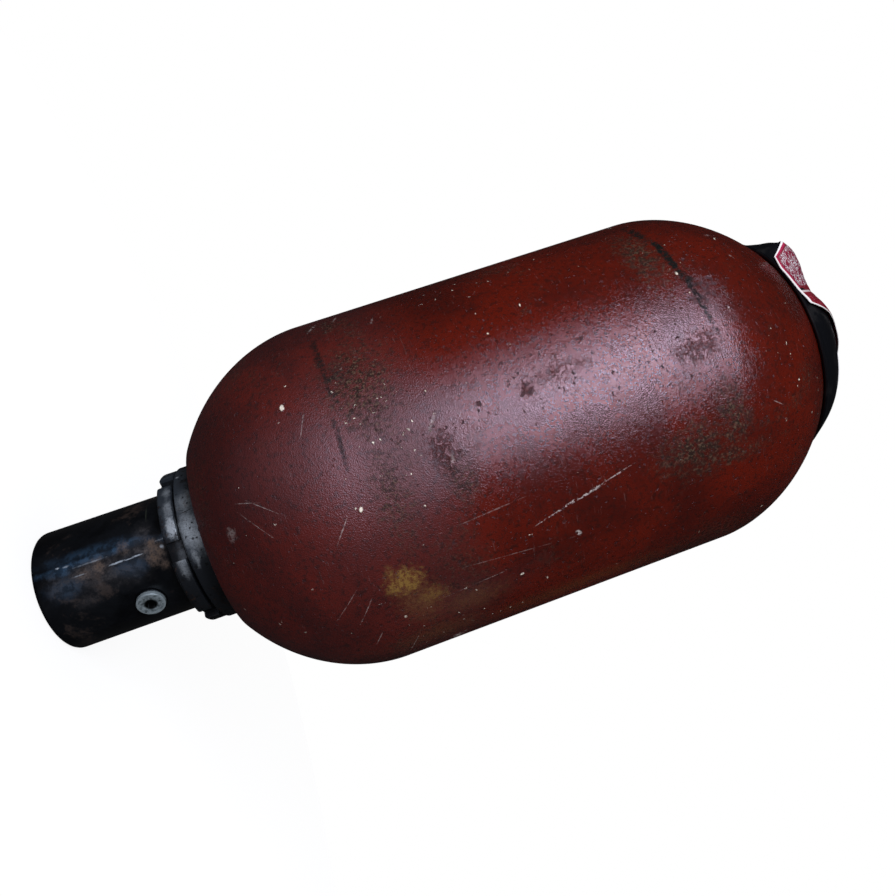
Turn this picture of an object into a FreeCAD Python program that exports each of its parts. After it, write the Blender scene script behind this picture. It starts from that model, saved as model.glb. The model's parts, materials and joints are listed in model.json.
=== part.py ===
import FreeCAD, Part
import math
import os

# Bladder accumulator of the 10 litre class, standing upright on its fluid port.
# Millimetres. +Z runs along the axis from the fluid port to the gas end, and the origin
# is the centre of the port's end face. Angles are in degrees about +Z, from +X.

# ---------------------------------------------------------------- fits and clearances
THREAD_PLAY = 0.10        # radial play of a thread that is modelled plain
SLIP_PLAY = 0.20          # radial play of rings that slip over or into each other
STEM_PLAY = 0.08          # radial running clearance of the poppet stem in its guide
BUSH_PLAY = 0.09          # radial running clearance of the damping bush in its dashpot
PIN_PLAY = 0.08           # radial running clearance of the gas valve's pin
BOND_GAP = 0.05           # rubber to the steel that it is bonded to
SEAT_GAP = 0.30           # poppet cone off its seat when shut, square to the cone
RING_SQUEEZE = 0.10       # space left all round an O-ring
CAP_SEAT = 0.55           # rim of the moulded cap above the shell
CAP_HEADROOM = 1.94       # cap's crown above the cap nut
SEAT_MARGIN = 1.0         # anti-extrusion ring inside the edge of its seat
LABEL_GLUE = 0.10         # label off the cap
TOUCH = 1e-6              # points closer than this are one point

# ---------------------------------------------------------------- forged steel shell
SHELL_R = 114.5
SHELL_WALL = 11.5
SHELL_STRAIGHT = 224.4    # length of the cylindrical part
DOME_DEPTH = 108.8        # each end, from the cylinder to where it would close
PORT_DOME_POWER = 1.93    # 2 would be a true ellipse; less is more pointed
GAS_DOME_POWER = 1.805
PORT_SPOT_R = 60.3        # machined flat round the port neck
GAS_SPOT_R = 40.0         # machined flat round the gas neck
PORT_NECK_R = 45.0
PORT_NECK_DEPTH = 25.2    # outer flat to inner seat
PORT_SEAT_R = 57.0        # inner seat of the anti-extrusion ring
GAS_NECK_DEPTH = 24.8
GAS_SEAT_R = 40.0
NECK_BEVEL = 1.0
DOME_POINTS = 8           # spans of each dome's curve

# ---------------------------------------------------------------- fluid port body
PORT_R = 39.0
PORT_TUBE = 83.8          # end face to the lock nut
PORT_END_ROUND = 3.5
PORT_THREAD_R = 29.8      # G2 internal thread, major radius
PORT_THREAD_DEPTH = 30.0
PORT_BORE_R = 28.0
PORT_LAND_R = 40.0        # M80 thread and the land that carries the seals
THREAD_START = 0.6        # M80 thread starts this far inside the lock nut
FLANGE_R = 44.4           # passes through the shell's neck
FLANGE_HEIGHT = 10.0
SEAT_TOP_R = 35.0         # 45 degree poppet seat, mouth

# Guide spider in the port's bore
HUB_R = 17.0
HUB_FROM_END = 68.3
HUB_HEIGHT = 38.0
HUB_NOSE_R = 12.0
HUB_NOSE_HEIGHT = 6.0
DASHPOT_R = 13.0
DASHPOT_DEPTH = 16.0
RIB_COUNT = 4
RIB_THICKNESS = 6.0
RIB_ANGLE = 45.0
RIB_SETBACK = 4.0         # rib ends short of the hub's ends
RIB_RAKE = 6.0            # rib's ends slope this much from hub to wall

# Bleed screw in the port's wall
BLEED_ANGLE = -54.0
BLEED_HEIGHT = 60.3
BLEED_THREAD_R = 6.0
BLEED_THREAD_LENGTH = 8.0
BLEED_HEAD_R = 8.5
BLEED_HEAD_HEIGHT = 3.0
BLEED_SPOT_R = 9.5
BLEED_HEX = 6.0
BLEED_HEX_DEPTH = 4.0
BLEED_SEAL_HEIGHT = 1.5

# ---------------------------------------------------------------- lock nut and neck rings
NUT_R = 50.5
NUT_FLANGE = 9.1          # slotted part
NUT_COLLAR_R = 45.0
NUT_COLLAR = 2.2
NUT_SLOTS = 6
NUT_SLOT_WIDTH = 12.0
NUT_SLOT_DEPTH = 5.0
NUT_TURN = -91.0          # one slot's angle
NUT_ROUND = 2.0
RING_BEVEL = 0.6
SPACER_R = 51.5
SPACER_HEIGHT = 11.0
SPACER_SLEEVE = 8.2       # sleeve that centres the spacer in the neck
BACK_UP_HEIGHT = 2.5
WASHER_HEIGHT = 4.0
SPIGOT_HEIGHT = 5.5       # anti-extrusion ring inside the neck
HOLD_HEIGHT = 12.0        # anti-extrusion ring on the inner seat
BAND_THICKNESS = 3.0
HALF_GAP = 1.0            # between the two steel halves

# ---------------------------------------------------------------- poppet
POPPET_LIFT = 12.0        # stroke, from shut to wide open
HEAD_R = 36.5
HEAD_RIM = 3.0
HEAD_CROWN = 4.0
HEAD_FILLET = 3.0
STEM_R = 8.0
STEM_END_R = 6.0          # M12 end
STEM_END_SPARE = 3.0
BUSH_HEIGHT = 12.0
LOCK_HEX = 19.0
LOCK_HEIGHT = 7.5
LOCK_COLLAR = 2.5
SPRING_WIRE_R = 1.5
SPRING_R = 14.5
SPRING_TURNS = 6

# ---------------------------------------------------------------- bladder
BLADDER_R = 88.0
BLADDER_WALL = 3.0
BLADDER_FLOOR = 192.3     # lowest point when slack
BLADDER_DOME = 60.0       # depth of its lower end
BLADDER_SHOULDER = 5.0    # starts to close this far below the shell's shoulder
BAG_COLLAR_R = 38.0
BAG_COLLAR_DROP = 16.0    # collar's height under the gas neck
BAG_FOOT = 4.0            # rubber under the stem's flange
BAG_COLLAR_ROUND = 2.0

# ---------------------------------------------------------------- gas valve
GAS_STEM_R = 20.0         # M40 thread
GAS_STEM_PROUD = 13.75    # above the outer flat
GAS_STEM_BEVEL = 1.0
GAS_FLANGE_R = 31.0
GAS_FLANGE_HEIGHT = 6.0
GAS_FLANGE_DROP = 12.0    # underside below the inner seat
NOZZLE_R = 13.0
NOZZLE_LENGTH = 8.0
STEM_RECESS_R = 14.0
STEM_RECESS_DEPTH = 18.5
NIPPLE_R = 7.9
NIPPLE_HEIGHT = 16.0
GAS_BORE_R = 2.5
STEM_RING_R = 2.0         # section radius of the stem's O-ring
STEM_NUT_HEX = 55.0
STEM_NUT_HEIGHT = 10.0
CORE_R = 4.0
CORE_LENGTH = 15.5
CORE_BELOW_TOP = 1.5
CORE_CHAMBER_R = 2.6
CORE_FLOOR = 3.0
CORE_ROOF = 4.0
CORE_VENT_R = 1.3
CORE_TAB = 3.0            # width and depth of the key tab on the core
CORE_CHAMBER_MARGIN = 13.0  # bore goes this far below the core
PIN_R = 0.75
PIN_PROUD = 0.7
PIN_COLLAR_R = 2.2
PIN_COLLAR_HEIGHT = 0.8
PIN_COLLAR_DROP = 1.2     # collar's top below the chamber's roof
PIN_CUP_R = 3.3
PIN_CUP_HEIGHT = 2.0
CORE_SPRING_WIRE_R = 0.22
CORE_SPRING_R = 1.7
CORE_SPRING_TURNS = 6
SEAL_HEX = 19.0
SEAL_TOP = 2.7
SEAL_ROOM = 0.8           # above the nipple
SEAL_RING_R = 1.2

# ---------------------------------------------------------------- moulded cap and label
CAP_RIM_R = 79.0
CAP_GIRTH_R = 84.0        # semi-axis of the cap's elliptical section
CAP_WALL = 2.5
GRIP_WALL = 2.5           # inner collar that clips over the lock nut
GRIP_START = 2.0
LABEL_THICKNESS = 0.4
LABEL_OUTLINE = [(-56, -56), (-46, -66), (-20, -76), (-8, -66), (2, -59), (50, -55),
                 (56, -30), (56, 8), (44, 24), (-44, 24), (-58, 8), (-60, -30)]


# ---------------------------------------------------------------- drawing helpers
def at(point):
    """A half-section point (r, z) as a vector."""
    return FreeCAD.Vector(point[0], 0, point[1])


def dome_height(r, radius, depth, power=2.0):
    """Height above its rim line of a rounded end, at radius r."""
    return depth * (1 - (r / radius) ** power) ** (1 / power)


def dome_edge(radius, depth, r_from, r_to, rim_z, up, power=2.0):
    """Curve of a rounded end on the half section, from r_from to r_to; up is 1 or -1."""

    def turn(r):
        return math.acos((r / radius) ** (power / 2))

    def direction(r):
        heading = 1 if r_to > r_from else -1
        if r >= radius:
            return FreeCAD.Vector(0, 0, -up * heading)
        share = r / radius
        slope = -depth / radius * share ** (power - 1) * (1 - share ** power) ** (1 / power - 1)
        return FreeCAD.Vector(heading, 0, heading * up * slope)

    points = []
    for i in range(DOME_POINTS + 1):
        t = turn(r_from) + (turn(r_to) - turn(r_from)) * i / DOME_POINTS
        r = radius * max(math.cos(t), 0) ** (2 / power)
        h = depth * max(math.sin(t), 0) ** (2 / power)
        points.append(FreeCAD.Vector(r, 0, rim_z + up * h))
    points[0] = FreeCAD.Vector(r_from, 0, points[0].z)
    curve = Part.BSplineCurve()
    curve.interpolate(Points=points, InitialTangent=direction(r_from), FinalTangent=direction(r_to))
    return curve.toShape()


def rounded(before, corner, after, radius):
    """Arc tangent to the two straight sides that meet at a corner."""
    middle = at(corner)
    back = (at(before) - middle).normalize()
    onward = (at(after) - middle).normalize()
    half = back.getAngle(onward) / 2
    bisector = (back + onward).normalize()
    crest = middle + bisector * (radius / math.sin(half) - radius)
    reach = radius / math.tan(half)
    return Part.Arc(middle + back * reach, crest, middle + onward * reach).toShape()


def crown_edge(r, z, rise):
    """Shallow arc from the axis, at z + rise, out to radius r at z."""
    sphere = (r * r + rise * rise) / (2 * rise)
    half = math.asin(r / sphere) / 2
    crest = (sphere * math.sin(half), z + rise - sphere * (1 - math.cos(half)))
    return Part.Arc(at((0, z + rise)), at(crest), at((r, z))).toShape()


def turned(path):
    """Solid turned about +Z from a closed path of (r, z) corners and ready curves."""
    edges = []
    here = None
    for step in path + path[:1]:
        curved = not isinstance(step, tuple)
        start = step.valueAt(step.FirstParameter) if curved else at(step)
        if here is not None and here.distanceToPoint(start) > TOUCH:
            edges.append(Part.makeLine(here, start))
        if curved:
            edges.append(step)
            start = step.valueAt(step.LastParameter)
        here = start
    face = Part.Face(Part.Wire(edges))
    return face.revolve(FreeCAD.Vector(0, 0, 0), FreeCAD.Vector(0, 0, 1), 360)


def ring(inner, outer, z, height, bevel=0.0):
    """Plain ring; bevel breaks its two outer edges."""
    top = z + height
    if not bevel:
        return turned([(inner, z), (outer, z), (outer, top), (inner, top)])
    return turned([(inner, z), (outer - bevel, z), (outer, z + bevel),
                   (outer, top - bevel), (outer - bevel, top), (inner, top)])


def o_ring(centre_r, section_r, z):
    """O-ring whose section is centred at height z."""
    return Part.makeTorus(centre_r, section_r, FreeCAD.Vector(0, 0, z), FreeCAD.Vector(0, 0, 1))


def turn_about_axis(shape, angle):
    """Copy of a shape turned about +Z."""
    copy = shape.copy()
    copy.rotate(FreeCAD.Vector(0, 0, 0), FreeCAD.Vector(0, 0, 1), angle)
    return copy


def hexagon(across_flats, z, height):
    """Hexagonal bar standing at height z, with flats facing +Y and -Y."""
    corner = across_flats / math.sqrt(3)
    points = []
    for i in range(7):
        turn = math.radians(60 * i)
        points.append(FreeCAD.Vector(corner * math.cos(turn), corner * math.sin(turn), z))
    return Part.Face(Part.makePolygon(points)).extrude(FreeCAD.Vector(0, 0, height))


def bevelled_hexagon(across_flats, z, height):
    """Hexagonal bar whose top corners are turned off at 30 degrees, as on a nut."""
    corner = across_flats / math.sqrt(3)
    flat = across_flats / 2 - across_flats / 60
    drop = (corner - flat) * math.tan(math.radians(30))
    top = z + height
    turning = turned([(0, z), (corner, z), (corner, top - drop), (flat, top), (0, top)])
    return hexagon(across_flats, z, height).common(turning)


def coil(wire_r, mean_r, z, height, turns):
    """Compression spring with open ends, standing between two seats."""
    rise = height - 2 * wire_r
    pitch = rise / turns
    helix = Part.makeHelix(pitch, rise, mean_r)
    start = FreeCAD.Vector(mean_r, 0, 0)
    heading = FreeCAD.Vector(0, 2 * math.pi * mean_r, pitch)
    section = Part.Wire(Part.makeCircle(wire_r, start, heading))
    wire = Part.Wire(helix.Edges).makePipeShell([section], True, True)
    wire.translate(FreeCAD.Vector(0, 0, z + wire_r))
    return wire


# ---------------------------------------------------------------- heights
Z_NUT = PORT_TUBE
Z_SPACER = Z_NUT + NUT_FLANGE + NUT_COLLAR
Z_SHELL = Z_SPACER + SPACER_HEIGHT
Z_PORT_SEAT = Z_SHELL + PORT_NECK_DEPTH
Z_STRAIGHT = Z_SHELL + dome_height(PORT_SPOT_R, SHELL_R, DOME_DEPTH, PORT_DOME_POWER)
Z_SHOULDER = Z_STRAIGHT + SHELL_STRAIGHT
Z_GAS_FACE = Z_SHOULDER + dome_height(GAS_SPOT_R, SHELL_R, DOME_DEPTH, GAS_DOME_POWER)
Z_GAS_SEAT = Z_GAS_FACE - GAS_NECK_DEPTH
Z_FLANGE = Z_PORT_SEAT + HOLD_HEIGHT
Z_RIM = Z_FLANGE + FLANGE_HEIGHT
Z_HUB_TOP = HUB_FROM_END + HUB_HEIGHT
Z_DASHPOT = HUB_FROM_END + DASHPOT_DEPTH
Z_HEAD = Z_RIM - (SEAT_TOP_R - PORT_BORE_R) + SEAT_GAP * math.sqrt(2) + POPPET_LIFT
Z_STEM_TOP = Z_GAS_FACE + GAS_STEM_PROUD
Z_RECESS = Z_STEM_TOP - STEM_RECESS_DEPTH
Z_NIPPLE = Z_RECESS + NIPPLE_HEIGHT
Z_CORE_TOP = Z_NIPPLE - CORE_BELOW_TOP
Z_CORE = Z_CORE_TOP - CORE_LENGTH
Z_SEAL = Z_RECESS + 2 * SEAL_RING_R + RING_SQUEEZE
Z_SEAL_TOP = Z_NIPPLE + SEAL_ROOM + SEAL_TOP
Z_GAS_FLANGE = Z_GAS_SEAT - GAS_FLANGE_DROP

# The moulded cap's elliptical section, from its rim on the shell to over the cap nut
Z_CAP = (Z_SHOULDER + CAP_SEAT
         + dome_height(CAP_RIM_R - CAP_WALL, SHELL_R, DOME_DEPTH, GAS_DOME_POWER))
CAP_RISE = Z_SEAL_TOP + CAP_HEADROOM + CAP_WALL - Z_CAP
CAP_SHARE = math.sqrt(1 - (CAP_RIM_R / CAP_GIRTH_R) ** 2)
CAP_SEMI = CAP_RISE / (1 - CAP_SHARE)
CAP_RIM_DROP = CAP_SEMI * CAP_SHARE
Z_CAP_CENTRE = Z_CAP - CAP_RIM_DROP

HOLD_R = PORT_SEAT_R - SEAT_MARGIN - BAND_THICKNESS
GAS_NECK_R = GAS_STEM_R + 2 * SLIP_PLAY
SHELL_INNER_R = SHELL_R - SHELL_WALL
RING_BORE_R = PORT_LAND_R + SLIP_PLAY
RING_OUTER_R = PORT_NECK_R - SLIP_PLAY


# ---------------------------------------------------------------- shell and bladder
def shell():
    """Forged pressure shell: spun domes that thicken into a machined neck at each end."""
    port_depth = (Z_STRAIGHT - Z_PORT_SEAT) / math.sqrt(1 - (PORT_SEAT_R / SHELL_INNER_R) ** 2)
    gas_depth = (Z_GAS_SEAT - Z_SHOULDER) / math.sqrt(1 - (GAS_SEAT_R / SHELL_INNER_R) ** 2)
    recess_r = GAS_STEM_R + 2 * STEM_RING_R + 2 * RING_SQUEEZE
    recess_top = Z_GAS_SEAT + 2 * STEM_RING_R + RING_SQUEEZE
    return turned([
        (PORT_NECK_R, Z_SHELL + NECK_BEVEL),
        (PORT_NECK_R + NECK_BEVEL, Z_SHELL),
        dome_edge(SHELL_R, DOME_DEPTH, PORT_SPOT_R, SHELL_R, Z_STRAIGHT, -1, PORT_DOME_POWER),
        dome_edge(SHELL_R, DOME_DEPTH, SHELL_R, GAS_SPOT_R, Z_SHOULDER, 1, GAS_DOME_POWER),
        (GAS_NECK_R + NECK_BEVEL, Z_GAS_FACE),
        (GAS_NECK_R, Z_GAS_FACE - NECK_BEVEL),
        (GAS_NECK_R, recess_top),
        (recess_r, recess_top),
        (recess_r, Z_GAS_SEAT),
        dome_edge(SHELL_INNER_R, gas_depth, GAS_SEAT_R, SHELL_INNER_R, Z_SHOULDER, 1),
        dome_edge(SHELL_INNER_R, port_depth, SHELL_INNER_R, PORT_SEAT_R, Z_STRAIGHT, -1),
        (PORT_NECK_R, Z_PORT_SEAT),
    ])


def bladder():
    """Slack rubber bag, moulded round the gas valve stem's flange."""
    rim_z = Z_SHOULDER - BLADDER_SHOULDER
    collar_z = Z_GAS_SEAT - BAG_COLLAR_DROP
    inner_r = BLADDER_R - BLADDER_WALL
    throat_r = BAG_COLLAR_R - BLADDER_WALL
    top_depth = (collar_z - rim_z) / math.sqrt(1 - (BAG_COLLAR_R / BLADDER_R) ** 2)
    inner_depth = (collar_z - BLADDER_WALL - rim_z) / math.sqrt(1 - (throat_r / inner_r) ** 2)
    floor_rim = BLADDER_FLOOR + BLADDER_DOME
    foot_z = Z_GAS_FLANGE - BAG_FOOT
    flange_r = GAS_FLANGE_R + BOND_GAP
    flange_low = Z_GAS_FLANGE - BOND_GAP
    flange_high = Z_GAS_FLANGE + GAS_FLANGE_HEIGHT + BOND_GAP
    stem_r = GAS_STEM_R + BOND_GAP
    nozzle_r = NOZZLE_R + BOND_GAP
    inner_dome = BLADDER_DOME - BLADDER_WALL
    return turned([
        (0, BLADDER_FLOOR + BLADDER_WALL),
        dome_edge(BLADDER_R, BLADDER_DOME, 0, BLADDER_R, floor_rim, -1),
        dome_edge(BLADDER_R, top_depth, BLADDER_R, BAG_COLLAR_R, rim_z, 1),
        rounded((BAG_COLLAR_R, collar_z), (BAG_COLLAR_R, Z_GAS_SEAT),
                (stem_r, Z_GAS_SEAT), BAG_COLLAR_ROUND),
        (stem_r, Z_GAS_SEAT),
        (stem_r, flange_high),
        (flange_r, flange_high),
        (flange_r, flange_low),
        (nozzle_r, flange_low),
        (nozzle_r, foot_z),
        (throat_r - BLADDER_WALL, foot_z),
        dome_edge(inner_r, inner_depth, throat_r, inner_r, rim_z, 1),
        dome_edge(inner_r, inner_dome, inner_r, 0, floor_rim, -1),
    ])


# ---------------------------------------------------------------- fluid port
def guide_rib():
    """One raked rib from the guide hub to the bore's wall, on +X."""
    low = HUB_FROM_END + RIB_SETBACK
    high = Z_HUB_TOP - RIB_SETBACK
    root = (HUB_R + DASHPOT_R) / 2
    wall = (PORT_BORE_R + PORT_R) / 2
    corners = [(root, low), (wall, low + RIB_RAKE), (wall, high - RIB_RAKE), (root, high), (root, low)]
    side = Part.Face(Part.makePolygon([at(corner) for corner in corners]))
    side.translate(FreeCAD.Vector(0, -RIB_THICKNESS / 2, 0))
    return side.extrude(FreeCAD.Vector(0, RIB_THICKNESS, 0))


def guide_hub():
    """Hub of the spider: stem guide above, dashpot below, and a nose for the spring."""
    guide_r = STEM_R + STEM_PLAY
    nose_top = Z_HUB_TOP + HUB_NOSE_HEIGHT
    return turned([
        (DASHPOT_R, HUB_FROM_END),
        (HUB_R - RING_BEVEL, HUB_FROM_END),
        (HUB_R, HUB_FROM_END + RING_BEVEL),
        (HUB_R, Z_HUB_TOP),
        (HUB_NOSE_R, Z_HUB_TOP),
        (HUB_NOSE_R, nose_top - RING_BEVEL),
        (HUB_NOSE_R - RING_BEVEL, nose_top),
        (guide_r, nose_top),
        (guide_r, Z_DASHPOT),
        (DASHPOT_R, Z_DASHPOT),
    ])


def aimed_at_bleed(shape):
    """Turn a piece drawn along +Z, from the part's axis outwards, to the bleed screw's place."""
    shape.rotate(FreeCAD.Vector(0, 0, 0), FreeCAD.Vector(0, 1, 0), 90)
    shape.translate(FreeCAD.Vector(0, 0, BLEED_HEIGHT))
    return turn_about_axis(shape, BLEED_ANGLE)


def bleed_seat():
    """Distance from the axis of the flat that the bleed screw's ring seats on."""
    return math.sqrt(PORT_R ** 2 - BLEED_SPOT_R ** 2)


def port_body():
    """Turned port tube with its thread, seal land, flange, poppet seat and guide spider."""
    thread_z = Z_NUT + THREAD_START
    seat_z = Z_RIM - (SEAT_TOP_R - PORT_BORE_R)
    body = turned([
        (PORT_THREAD_R, NECK_BEVEL),
        (PORT_THREAD_R + NECK_BEVEL, 0),
        rounded((PORT_THREAD_R, 0), (PORT_R, 0), (PORT_R, PORT_TUBE), PORT_END_ROUND),
        (PORT_R, thread_z),
        (PORT_LAND_R - NECK_BEVEL, thread_z),
        (PORT_LAND_R, thread_z + NECK_BEVEL),
        (PORT_LAND_R, Z_FLANGE),
        (FLANGE_R, Z_FLANGE),
        (FLANGE_R, Z_RIM - NECK_BEVEL),
        (FLANGE_R - NECK_BEVEL, Z_RIM),
        (SEAT_TOP_R, Z_RIM),
        (PORT_BORE_R, seat_z),
        (PORT_BORE_R, PORT_THREAD_DEPTH),
        (PORT_THREAD_R, PORT_THREAD_DEPTH),
    ])
    for i in range(RIB_COUNT):
        body = body.fuse(turn_about_axis(guide_rib(), RIB_ANGLE + i * 360 / RIB_COUNT))
    body = body.fuse(guide_hub())
    hole = Part.makeCylinder(BLEED_THREAD_R, PORT_R, FreeCAD.Vector(0, 0, HUB_R))
    spot = Part.makeCylinder(BLEED_SPOT_R, PORT_R, FreeCAD.Vector(0, 0, bleed_seat()))
    return body.cut(aimed_at_bleed(hole.fuse(spot))).removeSplitter()


def bleed_screw():
    """Flat-headed plug screw with a hexagon socket."""
    head_z = bleed_seat() + BLEED_SEAL_HEIGHT
    shank_r = BLEED_THREAD_R - THREAD_PLAY
    tip_z = head_z - BLEED_THREAD_LENGTH
    top = head_z + BLEED_HEAD_HEIGHT
    screw = turned([
        (0, tip_z),
        (shank_r - RING_BEVEL, tip_z),
        (shank_r, tip_z + RING_BEVEL),
        (shank_r, head_z),
        (BLEED_HEAD_R, head_z),
        (BLEED_HEAD_R, top - RING_BEVEL),
        (BLEED_HEAD_R - RING_BEVEL, top),
        (0, top),
    ])
    socket = hexagon(BLEED_HEX, top - BLEED_HEX_DEPTH, BLEED_HEX_DEPTH)
    return aimed_at_bleed(screw.cut(socket))


def bleed_seal_ring():
    """Flat sealing ring under the bleed screw's head."""
    inner = BLEED_THREAD_R + THREAD_PLAY
    return aimed_at_bleed(ring(inner, BLEED_HEAD_R, bleed_seat(), BLEED_SEAL_HEIGHT))


# ---------------------------------------------------------------- lock nut and neck rings
def slotted_lock_nut():
    """Round nut with spanner slots and a short collar that bears on the spacer."""
    bore_r = PORT_LAND_R + THREAD_PLAY
    slot_top = Z_NUT + NUT_FLANGE
    nut = turned([
        (bore_r, Z_NUT),
        rounded((bore_r, Z_NUT), (NUT_R, Z_NUT), (NUT_R, slot_top), NUT_ROUND),
        (NUT_R, slot_top - RING_BEVEL),
        (NUT_R - RING_BEVEL, slot_top),
        (NUT_COLLAR_R, slot_top),
        (NUT_COLLAR_R, Z_SPACER),
        (bore_r, Z_SPACER),
    ])
    slot = Part.makeBox(NUT_R, NUT_SLOT_WIDTH, NUT_FLANGE,
                        FreeCAD.Vector(NUT_R - NUT_SLOT_DEPTH, -NUT_SLOT_WIDTH / 2, Z_NUT))
    for i in range(NUT_SLOTS):
        nut = nut.cut(turn_about_axis(slot, NUT_TURN + i * 360 / NUT_SLOTS))
    return nut


def spacer_ring():
    """Spacer on the shell's flat, with a sleeve that centres it in the neck."""
    sleeve_top = Z_SHELL + SPACER_SLEEVE
    return turned([
        (RING_BORE_R, Z_SPACER),
        (SPACER_R - RING_BEVEL, Z_SPACER),
        (SPACER_R, Z_SPACER + RING_BEVEL),
        (SPACER_R, Z_SHELL - RING_BEVEL),
        (SPACER_R - RING_BEVEL, Z_SHELL),
        (RING_OUTER_R, Z_SHELL),
        (RING_OUTER_R, sleeve_top),
        (RING_BORE_R, sleeve_top),
    ])


def neck_washer_floor():
    """Height of the washer's underside in the neck."""
    return Z_PORT_SEAT - SPIGOT_HEIGHT - WASHER_HEIGHT


def back_up_ring():
    """Ring that keeps the O-ring from being squeezed out of the neck."""
    return ring(RING_BORE_R, RING_OUTER_R, Z_SHELL + SPACER_SLEEVE, BACK_UP_HEIGHT)


def port_o_ring():
    """Main seal between the port's land and the shell's neck."""
    section = (PORT_NECK_R - PORT_LAND_R) / 2 - RING_SQUEEZE
    low = Z_SHELL + SPACER_SLEEVE + BACK_UP_HEIGHT
    return o_ring((PORT_NECK_R + PORT_LAND_R) / 2, section, (low + neck_washer_floor()) / 2)


def port_washer():
    """Steel washer between the O-ring and the anti-extrusion ring."""
    return ring(RING_BORE_R, RING_OUTER_R, neck_washer_floor(), WASHER_HEIGHT)


def anti_extrusion_half(turn):
    """Steel half of the ring that holds the port body in the shell; it folds to go through the neck."""
    low = Z_PORT_SEAT - SPIGOT_HEIGHT
    whole = turned([
        (RING_BORE_R, low),
        (RING_OUTER_R, low),
        (RING_OUTER_R, Z_PORT_SEAT),
        (HOLD_R, Z_PORT_SEAT),
        (HOLD_R, Z_FLANGE),
        (RING_BORE_R, Z_FLANGE),
    ])
    keep = Part.makeBox(4 * HOLD_R, 2 * HOLD_R, 2 * HOLD_HEIGHT + SPIGOT_HEIGHT,
                        FreeCAD.Vector(-2 * HOLD_R, HALF_GAP / 2, low))
    return whole.common(turn_about_axis(keep, turn))


def anti_extrusion_band():
    """Rubber band bonded round the two steel halves."""
    inner = HOLD_R + BOND_GAP
    return ring(inner, HOLD_R + BAND_THICKNESS, Z_PORT_SEAT, HOLD_HEIGHT)


# ---------------------------------------------------------------- poppet
def poppet():
    """Mushroom poppet in its open place: domed head, 45 degree cone, stem and threaded end."""
    rim_low = Z_HEAD + SEAT_TOP_R - PORT_BORE_R
    rim_high = rim_low + HEAD_RIM
    end_z = Z_DASHPOT - BUSH_HEIGHT - LOCK_HEIGHT - LOCK_COLLAR - STEM_END_SPARE
    return turned([
        (0, end_z),
        (STEM_END_R - RING_BEVEL, end_z),
        (STEM_END_R, end_z + RING_BEVEL),
        (STEM_END_R, Z_DASHPOT),
        (STEM_R, Z_DASHPOT),
        rounded((STEM_R, Z_DASHPOT), (STEM_R, Z_HEAD), (PORT_BORE_R, Z_HEAD), HEAD_FILLET),
        (PORT_BORE_R, Z_HEAD),
        (SEAT_TOP_R, rim_low),
        (HEAD_R, rim_low),
        (HEAD_R, rim_high - RING_BEVEL),
        (HEAD_R - RING_BEVEL, rim_high),
        crown_edge_inward(HEAD_R - RING_BEVEL, rim_high, HEAD_CROWN),
    ])


def crown_edge_inward(r, z, rise):
    """The shallow crown drawn from its rim to the axis."""
    arc = crown_edge(r, z, rise)
    middle = arc.valueAt((arc.FirstParameter + arc.LastParameter) / 2)
    return Part.Arc(at((r, z)), middle, at((0, z + rise))).toShape()


def damping_bush():
    """Bush on the poppet's stem that traps oil in the dashpot as the valve opens."""
    bush_z = Z_DASHPOT - BUSH_HEIGHT
    return ring(STEM_END_R + THREAD_PLAY, DASHPOT_R - BUSH_PLAY, bush_z, BUSH_HEIGHT, RING_BEVEL)


def poppet_lock_nut():
    """Self-locking nut that clamps the damping bush on the stem."""
    bore_r = STEM_END_R + THREAD_PLAY
    top = Z_DASHPOT - BUSH_HEIGHT
    collar_r = LOCK_HEX / 2 - RING_BEVEL
    nut = hexagon(LOCK_HEX, top - LOCK_HEIGHT, LOCK_HEIGHT)
    collar = Part.makeCylinder(collar_r, LOCK_COLLAR, FreeCAD.Vector(0, 0, top - LOCK_HEIGHT - LOCK_COLLAR))
    low = top - LOCK_HEIGHT - LOCK_COLLAR
    bore = Part.makeCylinder(bore_r, LOCK_HEIGHT + LOCK_COLLAR, FreeCAD.Vector(0, 0, low))
    return nut.fuse(collar).cut(bore)


def poppet_spring():
    """Spring between the guide hub and the poppet's head that holds the valve open."""
    return coil(SPRING_WIRE_R, SPRING_R, Z_HUB_TOP, Z_HEAD - Z_HUB_TOP, SPRING_TURNS)


# ---------------------------------------------------------------- gas valve
def gas_valve_stem():
    """Stem that carries the bladder: moulded-in flange, outer thread and a nipple in a recess."""
    nozzle_z = Z_GAS_FLANGE - NOZZLE_LENGTH
    flange_top = Z_GAS_FLANGE + GAS_FLANGE_HEIGHT
    core_bore_r = CORE_R + THREAD_PLAY
    core_bore_z = Z_CORE - CORE_CHAMBER_MARGIN
    return turned([
        (GAS_BORE_R, nozzle_z),
        (NOZZLE_R - GAS_STEM_BEVEL, nozzle_z),
        (NOZZLE_R, nozzle_z + GAS_STEM_BEVEL),
        (NOZZLE_R, Z_GAS_FLANGE),
        (GAS_FLANGE_R, Z_GAS_FLANGE),
        (GAS_FLANGE_R, flange_top),
        (GAS_STEM_R, flange_top),
        (GAS_STEM_R, Z_STEM_TOP - GAS_STEM_BEVEL),
        (GAS_STEM_R - GAS_STEM_BEVEL, Z_STEM_TOP),
        (STEM_RECESS_R, Z_STEM_TOP),
        (STEM_RECESS_R, Z_RECESS),
        (NIPPLE_R, Z_RECESS),
        (NIPPLE_R, Z_NIPPLE - GAS_STEM_BEVEL),
        (NIPPLE_R - GAS_STEM_BEVEL, Z_NIPPLE),
        (core_bore_r, Z_NIPPLE),
        (core_bore_r, core_bore_z),
        (GAS_BORE_R, core_bore_z),
    ])


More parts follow.
